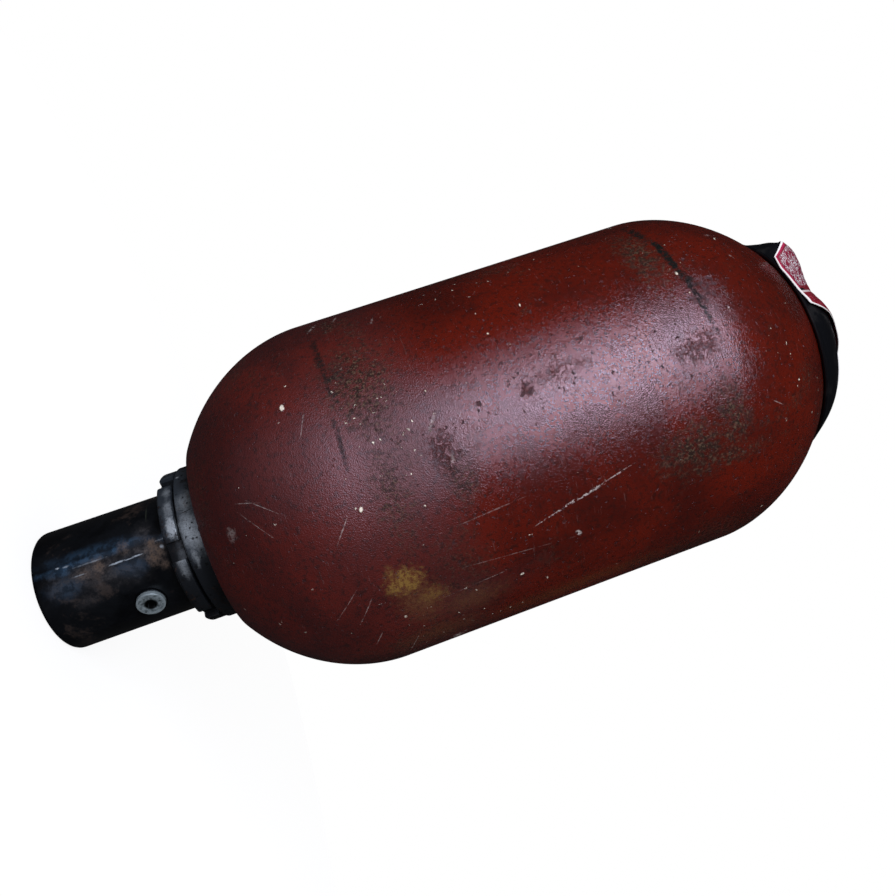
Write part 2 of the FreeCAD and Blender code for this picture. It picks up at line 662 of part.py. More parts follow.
def stem_seal_ring():
    """O-ring round the stem, in the recess of the shell's gas neck."""
    centre = GAS_STEM_R + STEM_RING_R + RING_SQUEEZE
    return o_ring(centre, STEM_RING_R, Z_GAS_SEAT + STEM_RING_R + RING_SQUEEZE / 2)


def stem_lock_nut():
    """Hexagon nut that pulls the gas valve stem up against the shell."""
    bore_r = GAS_STEM_R + THREAD_PLAY
    bore = Part.makeCylinder(bore_r, STEM_NUT_HEIGHT, FreeCAD.Vector(0, 0, Z_GAS_FACE))
    return bevelled_hexagon(STEM_NUT_HEX, Z_GAS_FACE, STEM_NUT_HEIGHT).cut(bore)


def core_chamber_floor():
    """Height of the floor that the valve core's spring stands on."""
    return Z_CORE + CORE_FLOOR


def gas_valve_core():
    """Screwed-in barrel of the gas valve, with a spring chamber and a key tab on top."""
    floor = core_chamber_floor()
    roof = Z_CORE_TOP - CORE_ROOF
    guide_r = PIN_R + PIN_PLAY
    barrel = turned([
        (CORE_VENT_R, Z_CORE),
        (CORE_R, Z_CORE),
        (CORE_R, Z_CORE_TOP),
        (guide_r, Z_CORE_TOP),
        (guide_r, roof),
        (CORE_CHAMBER_R, roof),
        (CORE_CHAMBER_R, floor),
        (CORE_VENT_R, floor),
    ])
    for side in (-1, 1):
        edge = CORE_TAB / 2 if side > 0 else -CORE_TAB / 2 - CORE_R
        notch = Part.makeBox(2 * CORE_R, CORE_R, CORE_TAB,
                             FreeCAD.Vector(-CORE_R, edge, Z_CORE_TOP - CORE_TAB))
        barrel = barrel.cut(notch)
    return barrel


def pin_collar_floor():
    """Underside of the pin's collar, where the core spring pushes."""
    return Z_CORE_TOP - CORE_ROOF - PIN_COLLAR_DROP - PIN_COLLAR_HEIGHT


def gas_valve_pin():
    """Sprung pin of the gas valve; its rubber-faced cup seals on the barrel's lower end."""
    collar_z = pin_collar_floor()
    collar_top = collar_z + PIN_COLLAR_HEIGHT
    cup_z = Z_CORE - PIN_CUP_HEIGHT
    return turned([
        (0, cup_z),
        (PIN_CUP_R, cup_z),
        (PIN_CUP_R, Z_CORE),
        (PIN_R, Z_CORE),
        (PIN_R, collar_z),
        (PIN_COLLAR_R, collar_z),
        (PIN_COLLAR_R, collar_top),
        (PIN_R, collar_top),
        (PIN_R, Z_CORE_TOP + PIN_PROUD),
        (0, Z_CORE_TOP + PIN_PROUD),
    ])


def core_spring():
    """Small spring that keeps the gas valve's pin shut."""
    floor = core_chamber_floor()
    height = pin_collar_floor() - floor
    return coil(CORE_SPRING_WIRE_R, CORE_SPRING_R, floor, height, CORE_SPRING_TURNS)


def valve_seal_cap():
    """Hexagon cap nut screwed over the nipple."""
    cap = bevelled_hexagon(SEAL_HEX, Z_SEAL, Z_SEAL_TOP - Z_SEAL)
    room = Part.makeCylinder(NIPPLE_R + THREAD_PLAY, Z_NIPPLE + SEAL_ROOM - Z_SEAL,
                             FreeCAD.Vector(0, 0, Z_SEAL))
    return cap.cut(room)


def seal_cap_o_ring():
    """O-ring under the cap nut."""
    return o_ring(NIPPLE_R + SEAL_RING_R + RING_SQUEEZE, SEAL_RING_R,
                  Z_RECESS + SEAL_RING_R + RING_SQUEEZE / 2)


# ---------------------------------------------------------------- moulded cap and label
def cap_form(grow):
    """Solid inside the cap's outer surface grown by this much, down to the rim's level."""
    girth = CAP_GIRTH_R + grow
    semi = CAP_SEMI + grow
    rim_r = girth * math.sqrt(1 - (CAP_RIM_DROP / semi) ** 2)
    return turned([
        (0, Z_CAP),
        dome_edge(girth, semi, rim_r, 0, Z_CAP_CENTRE, 1),
    ])


def protective_cap():
    """Moulded cap over the gas end; its inner collar grips the lock nut's corners."""
    grip_r = STEM_NUT_HEX / math.sqrt(3) + THREAD_PLAY
    grip_z = Z_GAS_FACE + GRIP_START
    grip = ring(grip_r, grip_r + GRIP_WALL, grip_z, CAP_RISE)
    return cap_form(0).cut(cap_form(-CAP_WALL)).fuse(grip.common(cap_form(-CAP_WALL / 2)))


def cap_label():
    """Thin label that follows the cap's dome; one corner reaches down to the rim."""
    sheet = cap_form(LABEL_GLUE + LABEL_THICKNESS).cut(cap_form(LABEL_GLUE))
    points = [FreeCAD.Vector(x, y, Z_CAP) for x, y in LABEL_OUTLINE + LABEL_OUTLINE[:1]]
    punch = Part.Face(Part.makePolygon(points)).extrude(FreeCAD.Vector(0, 0, 2 * CAP_RISE))
    return sheet.common(punch)


# ---------------------------------------------------------------- write the pieces
PIECES = {
    "shell": shell,
    "bladder": bladder,
    "port_body": port_body,
    "bleed_screw": bleed_screw,
    "bleed_seal_ring": bleed_seal_ring,
    "slotted_lock_nut": slotted_lock_nut,
    "spacer_ring": spacer_ring,
    "back_up_ring": back_up_ring,
    "port_o_ring": port_o_ring,
    "port_washer": port_washer,
    "anti_extrusion_half_back": lambda: anti_extrusion_half(0),
    "anti_extrusion_half_front": lambda: anti_extrusion_half(180),
    "anti_extrusion_band": anti_extrusion_band,
    "poppet": poppet,
    "damping_bush": damping_bush,
    "poppet_lock_nut": poppet_lock_nut,
    "poppet_spring": poppet_spring,
    "gas_valve_stem": gas_valve_stem,
    "stem_seal_ring": stem_seal_ring,
    "stem_lock_nut": stem_lock_nut,
    "gas_valve_core": gas_valve_core,
    "gas_valve_pin": gas_valve_pin,
    "core_spring": core_spring,
    "valve_seal_cap": valve_seal_cap,
    "seal_cap_o_ring": seal_cap_o_ring,
    "protective_cap": protective_cap,
    "cap_label": cap_label,
}

os.makedirs("parts", exist_ok=True)
for name, make in PIECES.items():
    piece = make()
    piece.exportStep("parts/" + name + ".step")
    low, high = piece.BoundBox.ZMin, piece.BoundBox.ZMax
    print(f"{name}: {len(piece.Solids)} solid, {piece.Volume:.0f} mm3, z {low:.2f} to {high:.2f}")
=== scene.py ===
"""Looks of the bladder accumulator: its outer pieces, finishes, studio and camera.

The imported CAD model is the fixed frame. Sizes in this file are millimetres and degrees,
and a piece's mesh is scaled to metres once, when it is finished. +Z runs from the fluid
port to the gas end, angles turn about +Z from +X, and -Y faces the camera.
"""

import json
import logging
import math
import sys
from collections.abc import Callable, Iterable, Sequence
from dataclasses import dataclass, field
from enum import Enum
from functools import cached_property, partial, reduce

import bpy
from mathutils import Matrix, Vector

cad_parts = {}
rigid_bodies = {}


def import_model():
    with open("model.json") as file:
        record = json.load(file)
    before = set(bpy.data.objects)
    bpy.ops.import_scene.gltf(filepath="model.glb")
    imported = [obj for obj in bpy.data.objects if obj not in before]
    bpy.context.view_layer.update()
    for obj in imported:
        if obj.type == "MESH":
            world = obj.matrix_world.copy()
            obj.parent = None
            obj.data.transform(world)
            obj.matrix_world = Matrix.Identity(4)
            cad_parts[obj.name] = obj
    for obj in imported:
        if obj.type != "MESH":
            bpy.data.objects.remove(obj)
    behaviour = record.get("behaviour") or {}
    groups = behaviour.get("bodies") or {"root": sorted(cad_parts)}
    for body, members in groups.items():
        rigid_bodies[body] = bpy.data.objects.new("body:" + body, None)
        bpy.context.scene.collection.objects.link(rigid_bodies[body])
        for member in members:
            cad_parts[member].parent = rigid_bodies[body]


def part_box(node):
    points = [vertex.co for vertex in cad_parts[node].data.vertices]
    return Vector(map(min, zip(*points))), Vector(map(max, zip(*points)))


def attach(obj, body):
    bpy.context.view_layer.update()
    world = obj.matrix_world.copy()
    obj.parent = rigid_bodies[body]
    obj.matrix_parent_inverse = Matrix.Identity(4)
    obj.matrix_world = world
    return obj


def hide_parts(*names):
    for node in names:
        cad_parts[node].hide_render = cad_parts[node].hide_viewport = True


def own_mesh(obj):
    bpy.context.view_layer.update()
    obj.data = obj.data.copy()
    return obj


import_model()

LOG = logging.getLogger("accumulator")
MM = 0.001
TURN_STEPS = 192
WIRE_SIDES = 12
WELD = 1e-4
DATUM = 6.3  # heights of marks are measured from this level

Corner = tuple[float, ...]
Socket = bpy.types.NodeSocket
Value = float | Socket
Colour = tuple[float, float, float, float]


# ---------------------------------------------------------------- small sums
def linear(code: str) -> Colour:
    """Turn a written colour into the renderer's linear values.

    Args:
        code: Six hexadecimal digits after a hash sign.

    Returns:
        Red, green, blue and a full alpha.
    """
    shares = [int(code[i:i + 2], 16) / 255 for i in (1, 3, 5)]
    return tuple(s / 12.92 if s < 0.04045 else ((s + 0.055) / 1.055) ** 2.4 for s in shares) + (1.0,)


def smooth(share: float) -> float:
    """Ease a share between 0 and 1 in and out."""
    share = min(max(share, 0.0), 1.0)
    return share * share * (3 - 2 * share)


def eased(keys: Sequence[tuple[float, float]], x: float) -> float:
    """Read a smooth curve through a few keys.

    Args:
        keys: Pairs of place and value, in rising order of place.
        x: The place to read at.

    Returns:
        The value there, held flat beyond the first and last keys.
    """
    if x <= keys[0][0]:
        return keys[0][1]
    for (low, start), (high, end) in zip(keys, keys[1:]):
        if x <= high:
            return start + (end - start) * smooth((x - low) / (high - low))
    return keys[-1][1]


def polar(radius: float, angle: float, height: float) -> Vector:
    """Place given by radius, angle about +Z and height, as a vector."""
    turn = math.radians(angle)
    return Vector((radius * math.cos(turn), radius * math.sin(turn), height))


def dome_height(radius: float, girth: float, depth: float, power: float = 2.0) -> float:
    """Height of a rounded end above its shoulder, at a radius."""
    return depth * (1 - min(radius / girth, 1.0) ** power) ** (1 / power)


def box_mm(node: str) -> tuple[Vector, Vector]:
    """Lowest and highest corner of a CAD node, in millimetres."""
    low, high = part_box(node)
    return low / MM, high / MM


# ---------------------------------------------------------------- outlines
def softened(corners: Sequence[Corner], spans: int = 5) -> list[tuple[float, float]]:
    """Round the corners of a half section.

    Args:
        corners: (radius, height) or (radius, height, rounding) of each corner.
        spans: Straight spans in each rounding.

    Returns:
        Points of the outline, with each rounding as an arc.
    """
    points: list[tuple[float, float]] = []
    for i, corner in enumerate(corners):
        here = Vector(corner[:2])
        if len(corner) == 2 or i in (0, len(corners) - 1):
            points.append(tuple(here))
            continue
        back = (Vector(corners[i - 1][:2]) - here).normalized()
        onward = (Vector(corners[i + 1][:2]) - here).normalized()
        half = back.angle(onward) / 2
        centre = here + (back + onward).normalized() * (corner[2] / math.sin(half))
        reach = corner[2] / math.tan(half)
        start = here + back * reach - centre
        end = here + onward * reach - centre
        sweep = start.angle_signed(end)
        for step in range(spans + 1):
            turn = -sweep * step / spans
            points.append(tuple(centre + Matrix.Rotation(turn, 2) @ start))
    return points


def dome_points(girth: float, depth: float, power: float, from_r: float, to_r: float,
                shoulder: float, up: int, spans: int) -> list[tuple[float, float]]:
    """Draw a rounded end of the half section.

    Args:
        girth: Radius at the shoulder.
        depth: Height from the shoulder to where the dome would close.
        power: 2 for an ellipse, less for a more pointed end.
        from_r: Radius where the stretch starts.
        to_r: Radius where it ends.
        shoulder: Height of the shoulder.
        up: 1 for an upper end, -1 for a lower one.
        spans: Straight spans in the stretch.

    Returns:
        Points along the dome, evenly spread by slope.
    """
    def turn(radius: float) -> float:
        """Angle on the unit curve at which the dome has this radius."""
        return math.acos(min((radius / girth) ** (power / 2), 1.0))

    points = []
    for i in range(spans + 1):
        t = turn(from_r) + (turn(to_r) - turn(from_r)) * i / spans
        radius = girth * max(math.cos(t), 0.0) ** (2 / power)
        height = depth * max(math.sin(t), 0.0) ** (2 / power)
        points.append((radius, shoulder + up * height))
    return points


# ---------------------------------------------------------------- modelling steps
def clear_selection() -> None:
    """Leave object mode's selection empty, whatever was selected."""
    for piece in bpy.context.view_layer.objects.selected:
        piece.select_set(False)


def pick(piece: bpy.types.Object) -> None:
    """Make a piece the only selected one, and the active one."""
    clear_selection()
    piece.select_set(True)
    bpy.context.view_layer.objects.active = piece


def edit(piece: bpy.types.Object) -> None:
    """Open a piece for editing with nothing selected in it."""
    pick(piece)
    bpy.ops.object.mode_set(mode="EDIT")
    bpy.ops.mesh.select_all(action="DESELECT")


def done() -> None:
    """Go back to object mode."""
    bpy.ops.object.mode_set(mode="OBJECT")


def named(name: str) -> bpy.types.Object:
    """Name the active new primitive and its mesh."""
    piece = bpy.context.object
    piece.name = name
    piece.data.name = name
    return piece


def chain(name: str, points: Sequence[Sequence[float]]) -> bpy.types.Object:
    """Extrude one vertex from point to point.

    Args:
        name: Name of the new piece.
        points: (radius, height) pairs on the XZ plane.

    Returns:
        The piece, left in edit mode with all of the chain selected.
    """
    clear_selection()
    bpy.ops.mesh.primitive_plane_add(size=1)
    piece = named(name)
    bpy.ops.object.mode_set(mode="EDIT")
    bpy.ops.mesh.select_all(action="SELECT")
    bpy.ops.mesh.merge(type="CENTER")
    bpy.ops.transform.translate(value=(points[0][0], 0, points[0][1]))
    for before, after in zip(points, points[1:]):
        step = (after[0] - before[0], 0, after[1] - before[1])
        bpy.ops.mesh.extrude_region_move(TRANSFORM_OT_translate={"value": step})
    bpy.ops.mesh.select_all(action="SELECT")
    return piece


def weld_and_face_out() -> None:
    """Merge doubled vertices of the open mesh and turn its faces outwards."""
    bpy.ops.mesh.select_all(action="SELECT")
    bpy.ops.mesh.remove_doubles(threshold=WELD)
    bpy.ops.mesh.normals_make_consistent(inside=False)


def turned(name: str, points: Sequence[Sequence[float]], steps: int = TURN_STEPS) -> bpy.types.Object:
    """Spin a half section round +Z into a closed piece.

    Args:
        name: Name of the new piece.
        points: (radius, height) pairs; a ring's outline ends where it starts.
        steps: Spans round the axis.

    Returns:
        The turned piece, in object mode.
    """
    piece = chain(name, points)
    bpy.ops.mesh.spin(steps=steps, angle=math.tau, center=(0, 0, 0), axis=(0, 0, 1))
    weld_and_face_out()
    done()
    return piece


def apply(piece: bpy.types.Object, kind: str, **settings: object) -> None:
    """Add a modifier and apply it at once.

    Args:
        piece: The piece to modify.
        kind: Blender's name of the modifier type.
        settings: Its settings.
    """
    pick(piece)
    modifier = piece.modifiers.new(kind.title(), kind)
    for name, value in settings.items():
        setattr(modifier, name, value)
    bpy.ops.object.modifier_apply(modifier=modifier.name)


def prism(name: str, sides: int, radius: float, low: float, high: float,
          turn: float = 0.0) -> bpy.types.Object:
    """Regular prism standing on +Z, used as a cutter or a start.

    Args:
        name: Name of the new piece.
        sides: Number of sides.
        radius: Radius to the corners.
        low: Height of its floor.
        high: Height of its top.
        turn: Turn about +Z in degrees.

    Returns:
        The prism, in object mode.
    """
    clear_selection()
    bpy.ops.mesh.primitive_cylinder_add(vertices=sides, radius=radius, depth=high - low)
    piece = named(name)
    lift = Matrix.Translation((0, 0, (low + high) / 2))
    piece.data.transform(lift @ Matrix.Rotation(math.radians(turn), 4, "Z"))
    return piece


def cut(piece: bpy.types.Object, cutter: bpy.types.Object) -> None:
    """Take a cutter's form out of a piece, and drop the cutter."""
    apply(piece, "BOOLEAN", object=cutter, operation="DIFFERENCE", solver="EXACT")
    bpy.data.objects.remove(cutter, do_unlink=True)


def bevelled(piece: bpy.types.Object, width: float, sharper_than: float = 30.0) -> None:
    """Break the edges of a piece that turn by more than an angle."""
    apply(piece, "BEVEL", width=width, segments=2, limit_method="ANGLE",
          angle_limit=math.radians(sharper_than))


def joined(piece: bpy.types.Object, parts: Iterable[bpy.types.Object]) -> None:
    """Join parts into a piece."""
    pick(piece)
    for part in parts:
        part.select_set(True)
    bpy.ops.object.join()


def smooth_faces(piece: bpy.types.Object, angle: float = 32.0) -> None:
    """Shade a piece smooth where its faces meet at less than this angle."""
    pick(piece)
    bpy.ops.object.shade_smooth_by_angle(angle=math.radians(angle))


def finished(piece: bpy.types.Object, nodes: Iterable[str], material: bpy.types.Material,
             body: str = "vessel") -> bpy.types.Object:
    """Scale a piece to metres, dress it, and hang it on its body.

    Args:
        piece: The piece, modelled in millimetres.
        nodes: CAD nodes that it stands for.
        material: Its finish.
        body: CAD body that it rides on.

    Returns:
        The same piece.
    """
    piece.data.transform(Matrix.Scale(MM, 4))
    piece.data.materials.clear()
    piece.data.materials.append(material)
    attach(piece, body)
    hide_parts(*nodes)
    LOG.info("%s: %d faces on %s", piece.name, len(piece.data.polygons), body)
    return piece


# ---------------------------------------------------------------- node sheets
class Sheet:
    """A node tree being laid out. Each method adds a node and gives back its output."""

    def __init__(self, tree: bpy.types.NodeTree) -> None:
        """Take the tree to draw on."""
        self.tree = tree

    def node(self, kind: str, **settings: object) -> bpy.types.Node:
        """Add a node of a kind and set its properties."""
        made = self.tree.nodes.new(kind)
        for name, value in settings.items():
            setattr(made, name, value)
        return made

    def feed(self, socket: Socket, value: object) -> None:
        """Link a socket to another, or give it a plain value or a written colour."""
        if isinstance(value, bpy.types.NodeSocket):
            self.tree.links.new(value, socket)
        else:
            socket.default_value = linear(value) if isinstance(value, str) else value

    def show(self, kind: str, shader: bpy.types.Node) -> None:
        """Add the sheet's output and put the shader on it."""
        self.feed(self.node(kind).inputs["Surface"], shader.outputs[0])

    def math(self, operation: str, *values: Value, clamp: bool = False) -> Socket:
        """Do one sum on numbers."""
        made = self.node("ShaderNodeMath", operation=operation, use_clamp=clamp)
        for socket, value in zip(made.inputs, values):
            self.feed(socket, value)
        return made.outputs[0]

    def times(self, first: Value, second: Value) -> Socket:
        """Multiply two numbers."""
        return self.math("MULTIPLY", first, second)

    def plus(self, first: Value, second: Value) -> Socket:
        """Add two numbers."""
        return self.math("ADD", first, second)

    def less(self, first: Value, second: Value) -> Socket:
        """Take the second number from the first."""
        return self.math("SUBTRACT", first, second)

    def most(self, first: Value, second: Value) -> Socket:
        """Higher of two numbers."""
        return self.math("MAXIMUM", first, second)

    def scaled(self, value: Value, by: Value, start: Value) -> Socket:
        """Multiply a number and add a start to it."""
        return self.math("MULTIPLY_ADD", value, by, start)

    def mix(self, share: Value, below: object, above: object) -> Socket:
        """Lay one colour over another.

        Args:
            share: How much of the upper colour shows.
            below: Lower colour.
            above: Upper colour.

        Returns:
            The mixed colour.
        """
        made = self.node("ShaderNodeMix", data_type="RGBA", blend_type="MIX")
        self.feed(made.inputs["Factor"], share)
        self.feed(made.inputs[6], below)
        self.feed(made.inputs[7], above)
        return made.outputs[2]

    def blend(self, share: Value, below: Value, above: Value) -> Socket:
        """Mix two numbers."""
        made = self.node("ShaderNodeMix", data_type="FLOAT")
        self.feed(made.inputs["Factor"], share)
        self.feed(made.inputs[2], below)
        self.feed(made.inputs[3], above)
        return made.outputs[0]

    def ramp(self, value: Value, low: Value, high: Value,
             start: Value = 0.0, end: Value = 1.0) -> Socket:
        """Ease a number from start to end while it goes from low to high."""
        made = self.node("ShaderNodeMapRange", interpolation_type="SMOOTHSTEP")
        for socket, number in zip(made.inputs, (value, low, high, start, end)):
            self.feed(socket, number)
        return made.outputs[0]

    def length(self, first: Value, second: Value) -> Socket:
        """Distance that two legs at right angles span."""
        return self.math("SQRT", self.plus(self.times(first, first), self.times(second, second)))

    def fade(self, value: Value, limits: tuple[float, float], start: Value = 0.0, end: Value = 1.0) -> Socket:
        """Ease a size from start to end between two limits in millimetres."""
        return self.ramp(value, limits[0] * MM, limits[1] * MM, start, end)

    def place(self) -> Socket:
        """Object coordinates of the shaded point, in metres."""
        return self.node("ShaderNodeTexCoord").outputs["Object"]

    def stretched(self, vector: Socket, scale: tuple[float, float, float]) -> Socket:
        """Scale coordinates by axis."""
        made = self.node("ShaderNodeVectorMath", operation="MULTIPLY")
        self.feed(made.inputs[0], vector)
        made.inputs[1].default_value = scale
        return made.outputs[0]

    def noise(self, vector: Socket, scale: Value, detail: float = 3.0, rough: float = 0.55,
              distortion: float = 0.0) -> Socket:
        """Smooth noise between 0 and 1, with scale in waves a metre."""
        made = self.node("ShaderNodeTexNoise")
        self.feed(made.inputs["Vector"], vector)
        self.feed(made.inputs["Scale"], scale)
        made.inputs["Detail"].default_value = detail
        made.inputs["Roughness"].default_value = rough
        made.inputs["Distortion"].default_value = distortion
        return made.outputs[0]

    def warped(self, vector: Socket, scale: Value, share: float) -> Socket:
        """Coordinates pushed about by a share of a cell of the given scale."""
        made = self.node("ShaderNodeTexNoise")
        self.feed(made.inputs["Vector"], vector)
        self.feed(made.inputs["Scale"], self.times(scale, 2.6))
        pushes = [self.math("DIVIDE", self.times(self.less(part, 0.5), share), scale)
                  for part in self.split(made.outputs["Color"])]
        moved = self.node("ShaderNodeVectorMath", operation="ADD")
        self.feed(moved.inputs[0], vector)
        self.feed(moved.inputs[1], self.join(*pushes))
        return moved.outputs[0]

    def split(self, vector: Socket) -> tuple[Socket, Socket, Socket]:
        """Take coordinates apart."""
        made = self.node("ShaderNodeSeparateXYZ")
        self.feed(made.inputs[0], vector)
        return made.outputs[0], made.outputs[1], made.outputs[2]

    def join(self, x: Value, y: Value, z: Value) -> Socket:
        """Put coordinates together."""
        made = self.node("ShaderNodeCombineXYZ")
        for socket, value in zip(made.inputs, (x, y, z)):
            self.feed(socket, value)
        return made.outputs[0]

    def wrapped(self, vector: Socket) -> Socket:
        """Coordinates round the piece: arc length, radius and height, in metres."""
        x, y, z = self.split(vector)
        radius = self.length(x, y)
        turn = self.math("ARCTAN2", x, self.times(y, -1.0))
        return self.join(self.times(turn, radius), radius, z)

    def use(self, group: bpy.types.NodeTree, **inputs: object) -> dict[str, Socket]:
        """Place a shader group.

        Args:
            group: The group's tree.
            inputs: Values by socket name, with underscores for spaces.

        Returns:
            The group's outputs by name.
        """
        made = self.node("ShaderNodeGroup", node_tree=group)
        for name, value in inputs.items():
            self.feed(made.inputs[name.replace("_", " ").capitalize()], value)
        return {socket.name: socket for socket in made.outputs}


def blank_sheet(owner: bpy.types.Material | bpy.types.World) -> Sheet:
    """Empty sheet of a material or a world."""
    owner.use_nodes = True
    owner.node_tree.nodes.clear()
    return Sheet(owner.node_tree)


GroupBody = Callable[[Sheet, dict[str, Socket]], dict[str, Socket]]


def shader_group(name: str, inputs: dict[str, float | None], outputs: dict[str, str],
                 draw: GroupBody) -> bpy.types.NodeTree:
    """Make a shader group with named inputs and outputs.

    Args:
        name: Name of the group.
        inputs: Default of each number, or None for a vector.
        outputs: Kind of each output: Float or Color.
        draw: Draws the group's nodes and returns its outputs by name.

    Returns:
        The group's tree.
    """
    tree = bpy.data.node_groups.new(name, "ShaderNodeTree")
    for key, default in inputs.items():
        kind = "NodeSocketVector" if default is None else "NodeSocketFloat"
        socket = tree.interface.new_socket(key, in_out="INPUT", socket_type=kind)
        if default is not None:
            socket.default_value = default
    for key, kind in outputs.items():
        tree.interface.new_socket(key, in_out="OUTPUT", socket_type="NodeSocket" + kind)
    sheet = Sheet(tree)
    entry = sheet.node("NodeGroupInput")
    leave = sheet.node("NodeGroupOutput")
    for key, socket in draw(sheet, {s.name: s for s in entry.outputs if s.name}).items():
        sheet.feed(leave.inputs[key], socket)
    return tree


def draw_patch(sheet: Sheet, given: dict[str, Socket]) -> dict[str, Socket]:
    """Ragged oval on a round surface, placed by angle and height."""
    x, y, z = sheet.split(given["Vector"])
    turn = sheet.less(sheet.math("ARCTAN2", y, x), given["Angle"])
    across = sheet.times(sheet.math("WRAP", turn, math.pi, -math.pi), sheet.length(x, y))
    along = sheet.less(z, given["Height"])
    cosine = sheet.math("COSINE", given["Tilt"])
    sine = sheet.math("SINE", given["Tilt"])
    u = sheet.scaled(across, cosine, sheet.times(along, sine))
    v = sheet.less(sheet.times(along, cosine), sheet.times(across, sine))
    u = sheet.math("DIVIDE", u, given["Half width"])
    v = sheet.math("DIVIDE", v, given["Half length"])
    edge = sheet.noise(given["Vector"], given["Grain"], 4.0, 0.65)
    shift = sheet.times(sheet.less(edge, 0.5), given["Ragged"])
    reach = sheet.plus(sheet.length(u, v), shift)
    inner = sheet.less(1.0, given["Softness"])
    return {"Mask": sheet.ramp(reach, 1.0, inner)}


def draw_speckle(sheet: Sheet, given: dict[str, Socket]) -> dict[str, Socket]:
    """Scattered small dots of uneven size, of which only a share shows."""
    cells = sheet.node("ShaderNodeTexVoronoi", feature="F1")
    wobble = sheet.noise(given["Vector"], sheet.times(given["Scale"], 2.3), 2.0)
    sheet.feed(cells.inputs["Vector"], sheet.warped(given["Vector"], given["Scale"], 0.9))
    sheet.feed(cells.inputs["Scale"], given["Scale"])
    red, green, blue = sheet.split(cells.outputs["Color"])
    size = sheet.times(given["Size"], sheet.plus(0.35, green))
    size = sheet.times(size, sheet.plus(0.5, wobble))
    dot = sheet.ramp(cells.outputs["Distance"], size, sheet.times(size, 0.55))
    shown = sheet.math("LESS_THAN", red, given["Share"])
    return {"Mask": sheet.times(dot, shown), "Tone": blue}


def draw_grain(sheet: Sheet, given: dict[str, Socket]) -> dict[str, Socket]:
    """Fine uneven surface: a soft swell with a sharper grain on it."""
    swell = sheet.noise(given["Vector"], sheet.times(given["Scale"], 0.22), 2.0, 0.5)
    fine = sheet.noise(given["Vector"], given["Scale"], 5.0, 0.62)
    tooth = sheet.noise(given["Vector"], sheet.times(given["Scale"], 2.1), 0.6, 0.5)
    return {"Height": sheet.blend(0.35, fine, swell), "Fine": fine, "Tooth": tooth}


def draw_bloom(sheet: Sheet, given: dict[str, Socket]) -> dict[str, Socket]:
    """Rust or grime that gathers in soft-edged islands with a dotted border."""
    broad = sheet.noise(given["Vector"], given["Scale"], 4.0, 0.6, 0.6)
    fine = sheet.noise(given["Vector"], sheet.times(given["Scale"], 9.0), 3.0, 0.7)
    level = sheet.scaled(sheet.less(fine, 0.5), 0.35, broad)
    start = sheet.less(1.0, given["Cover"])
    return {"Mask": sheet.ramp(level, start, sheet.plus(start, 0.14)), "Fine": fine}


def draw_lathe(sheet: Sheet, given: dict[str, Socket]) -> dict[str, Socket]:
    """Fine rings that a lathe tool leaves, fading in and out round the piece."""
    drawn = sheet.stretched(sheet.wrapped(given["Vector"]), (0.02, 0.3, 1.0))
    rings = sheet.noise(drawn, given["Scale"], 4.0, 0.7)
    return {"Height": rings}


def draw_streaks(sheet: Sheet, given: dict[str, Socket]) -> dict[str, Socket]:
    """Fine rub marks drawn out round the piece."""
    drawn = sheet.stretched(sheet.wrapped(given["Vector"]), (0.10, 0.3, 1.0))
    lines = sheet.noise(drawn, given["Scale"], 3.0, 0.6, 0.25)
    breaks = sheet.noise(given["Vector"], sheet.times(given["Scale"], 0.06), 2.0)
    ridge = sheet.ramp(lines, 0.60, 0.72)
    return {"Mask": sheet.times(ridge, sheet.ramp(breaks, 0.45, 0.65))}


PATCH = shader_group("surface_patch", {
    "Vector": None, "Angle": 0.0, "Height": 0.0, "Half width": 0.01, "Half length": 0.01,
    "Tilt": 0.0, "Ragged": 0.5, "Softness": 0.5, "Grain": 300.0}, {"Mask": "Float"}, draw_patch)
SPECKLE = shader_group("speckle", {"Vector": None, "Scale": 100.0, "Size": 0.3, "Share": 0.2},
                       {"Mask": "Float", "Tone": "Float"}, draw_speckle)
GRAIN = shader_group("grain", {"Vector": None, "Scale": 600.0},
                     {"Height": "Float", "Fine": "Float", "Tooth": "Float"}, draw_grain)
BLOOM = shader_group("bloom", {"Vector": None, "Scale": 20.0, "Cover": 0.4},
                     {"Mask": "Float", "Fine": "Float"}, draw_bloom)
LATHE = shader_group("lathe_marks", {"Vector": None, "Scale": 2500.0}, {"Height": "Float"}, draw_lathe)
STREAKS = shader_group("rub_streaks", {"Vector": None, "Scale": 900.0}, {"Mask": "Float"}, draw_streaks)


# ---------------------------------------------------------------- marks and finishes
@dataclass(frozen=True)
class Mark:
    """One stain, chip or scratch on a round surface."""

    angle: float
    height: float
    half_width: float
    half_length: float
    strength: float = 1.0
    tilt: float = 0.0
    ragged: float = 0.8
    softness: float = 0.5
    grain: float = 400.0

    def mask(self, sheet: Sheet, place: Socket) -> Socket:
        """Draw the mark's mask.

        Args:
            sheet: Sheet to draw on.
            place: Object coordinates.

        Returns:
            Mask scaled by the mark's strength.
        """
        out = sheet.use(
            PATCH, vector=place, angle=math.radians(self.angle), height=(self.height + DATUM) * MM,
            half_width=self.half_width * MM, half_length=self.half_length * MM,
            tilt=math.radians(self.tilt), ragged=self.ragged, softness=self.softness, grain=self.grain)
        return sheet.times(out["Mask"], self.strength)


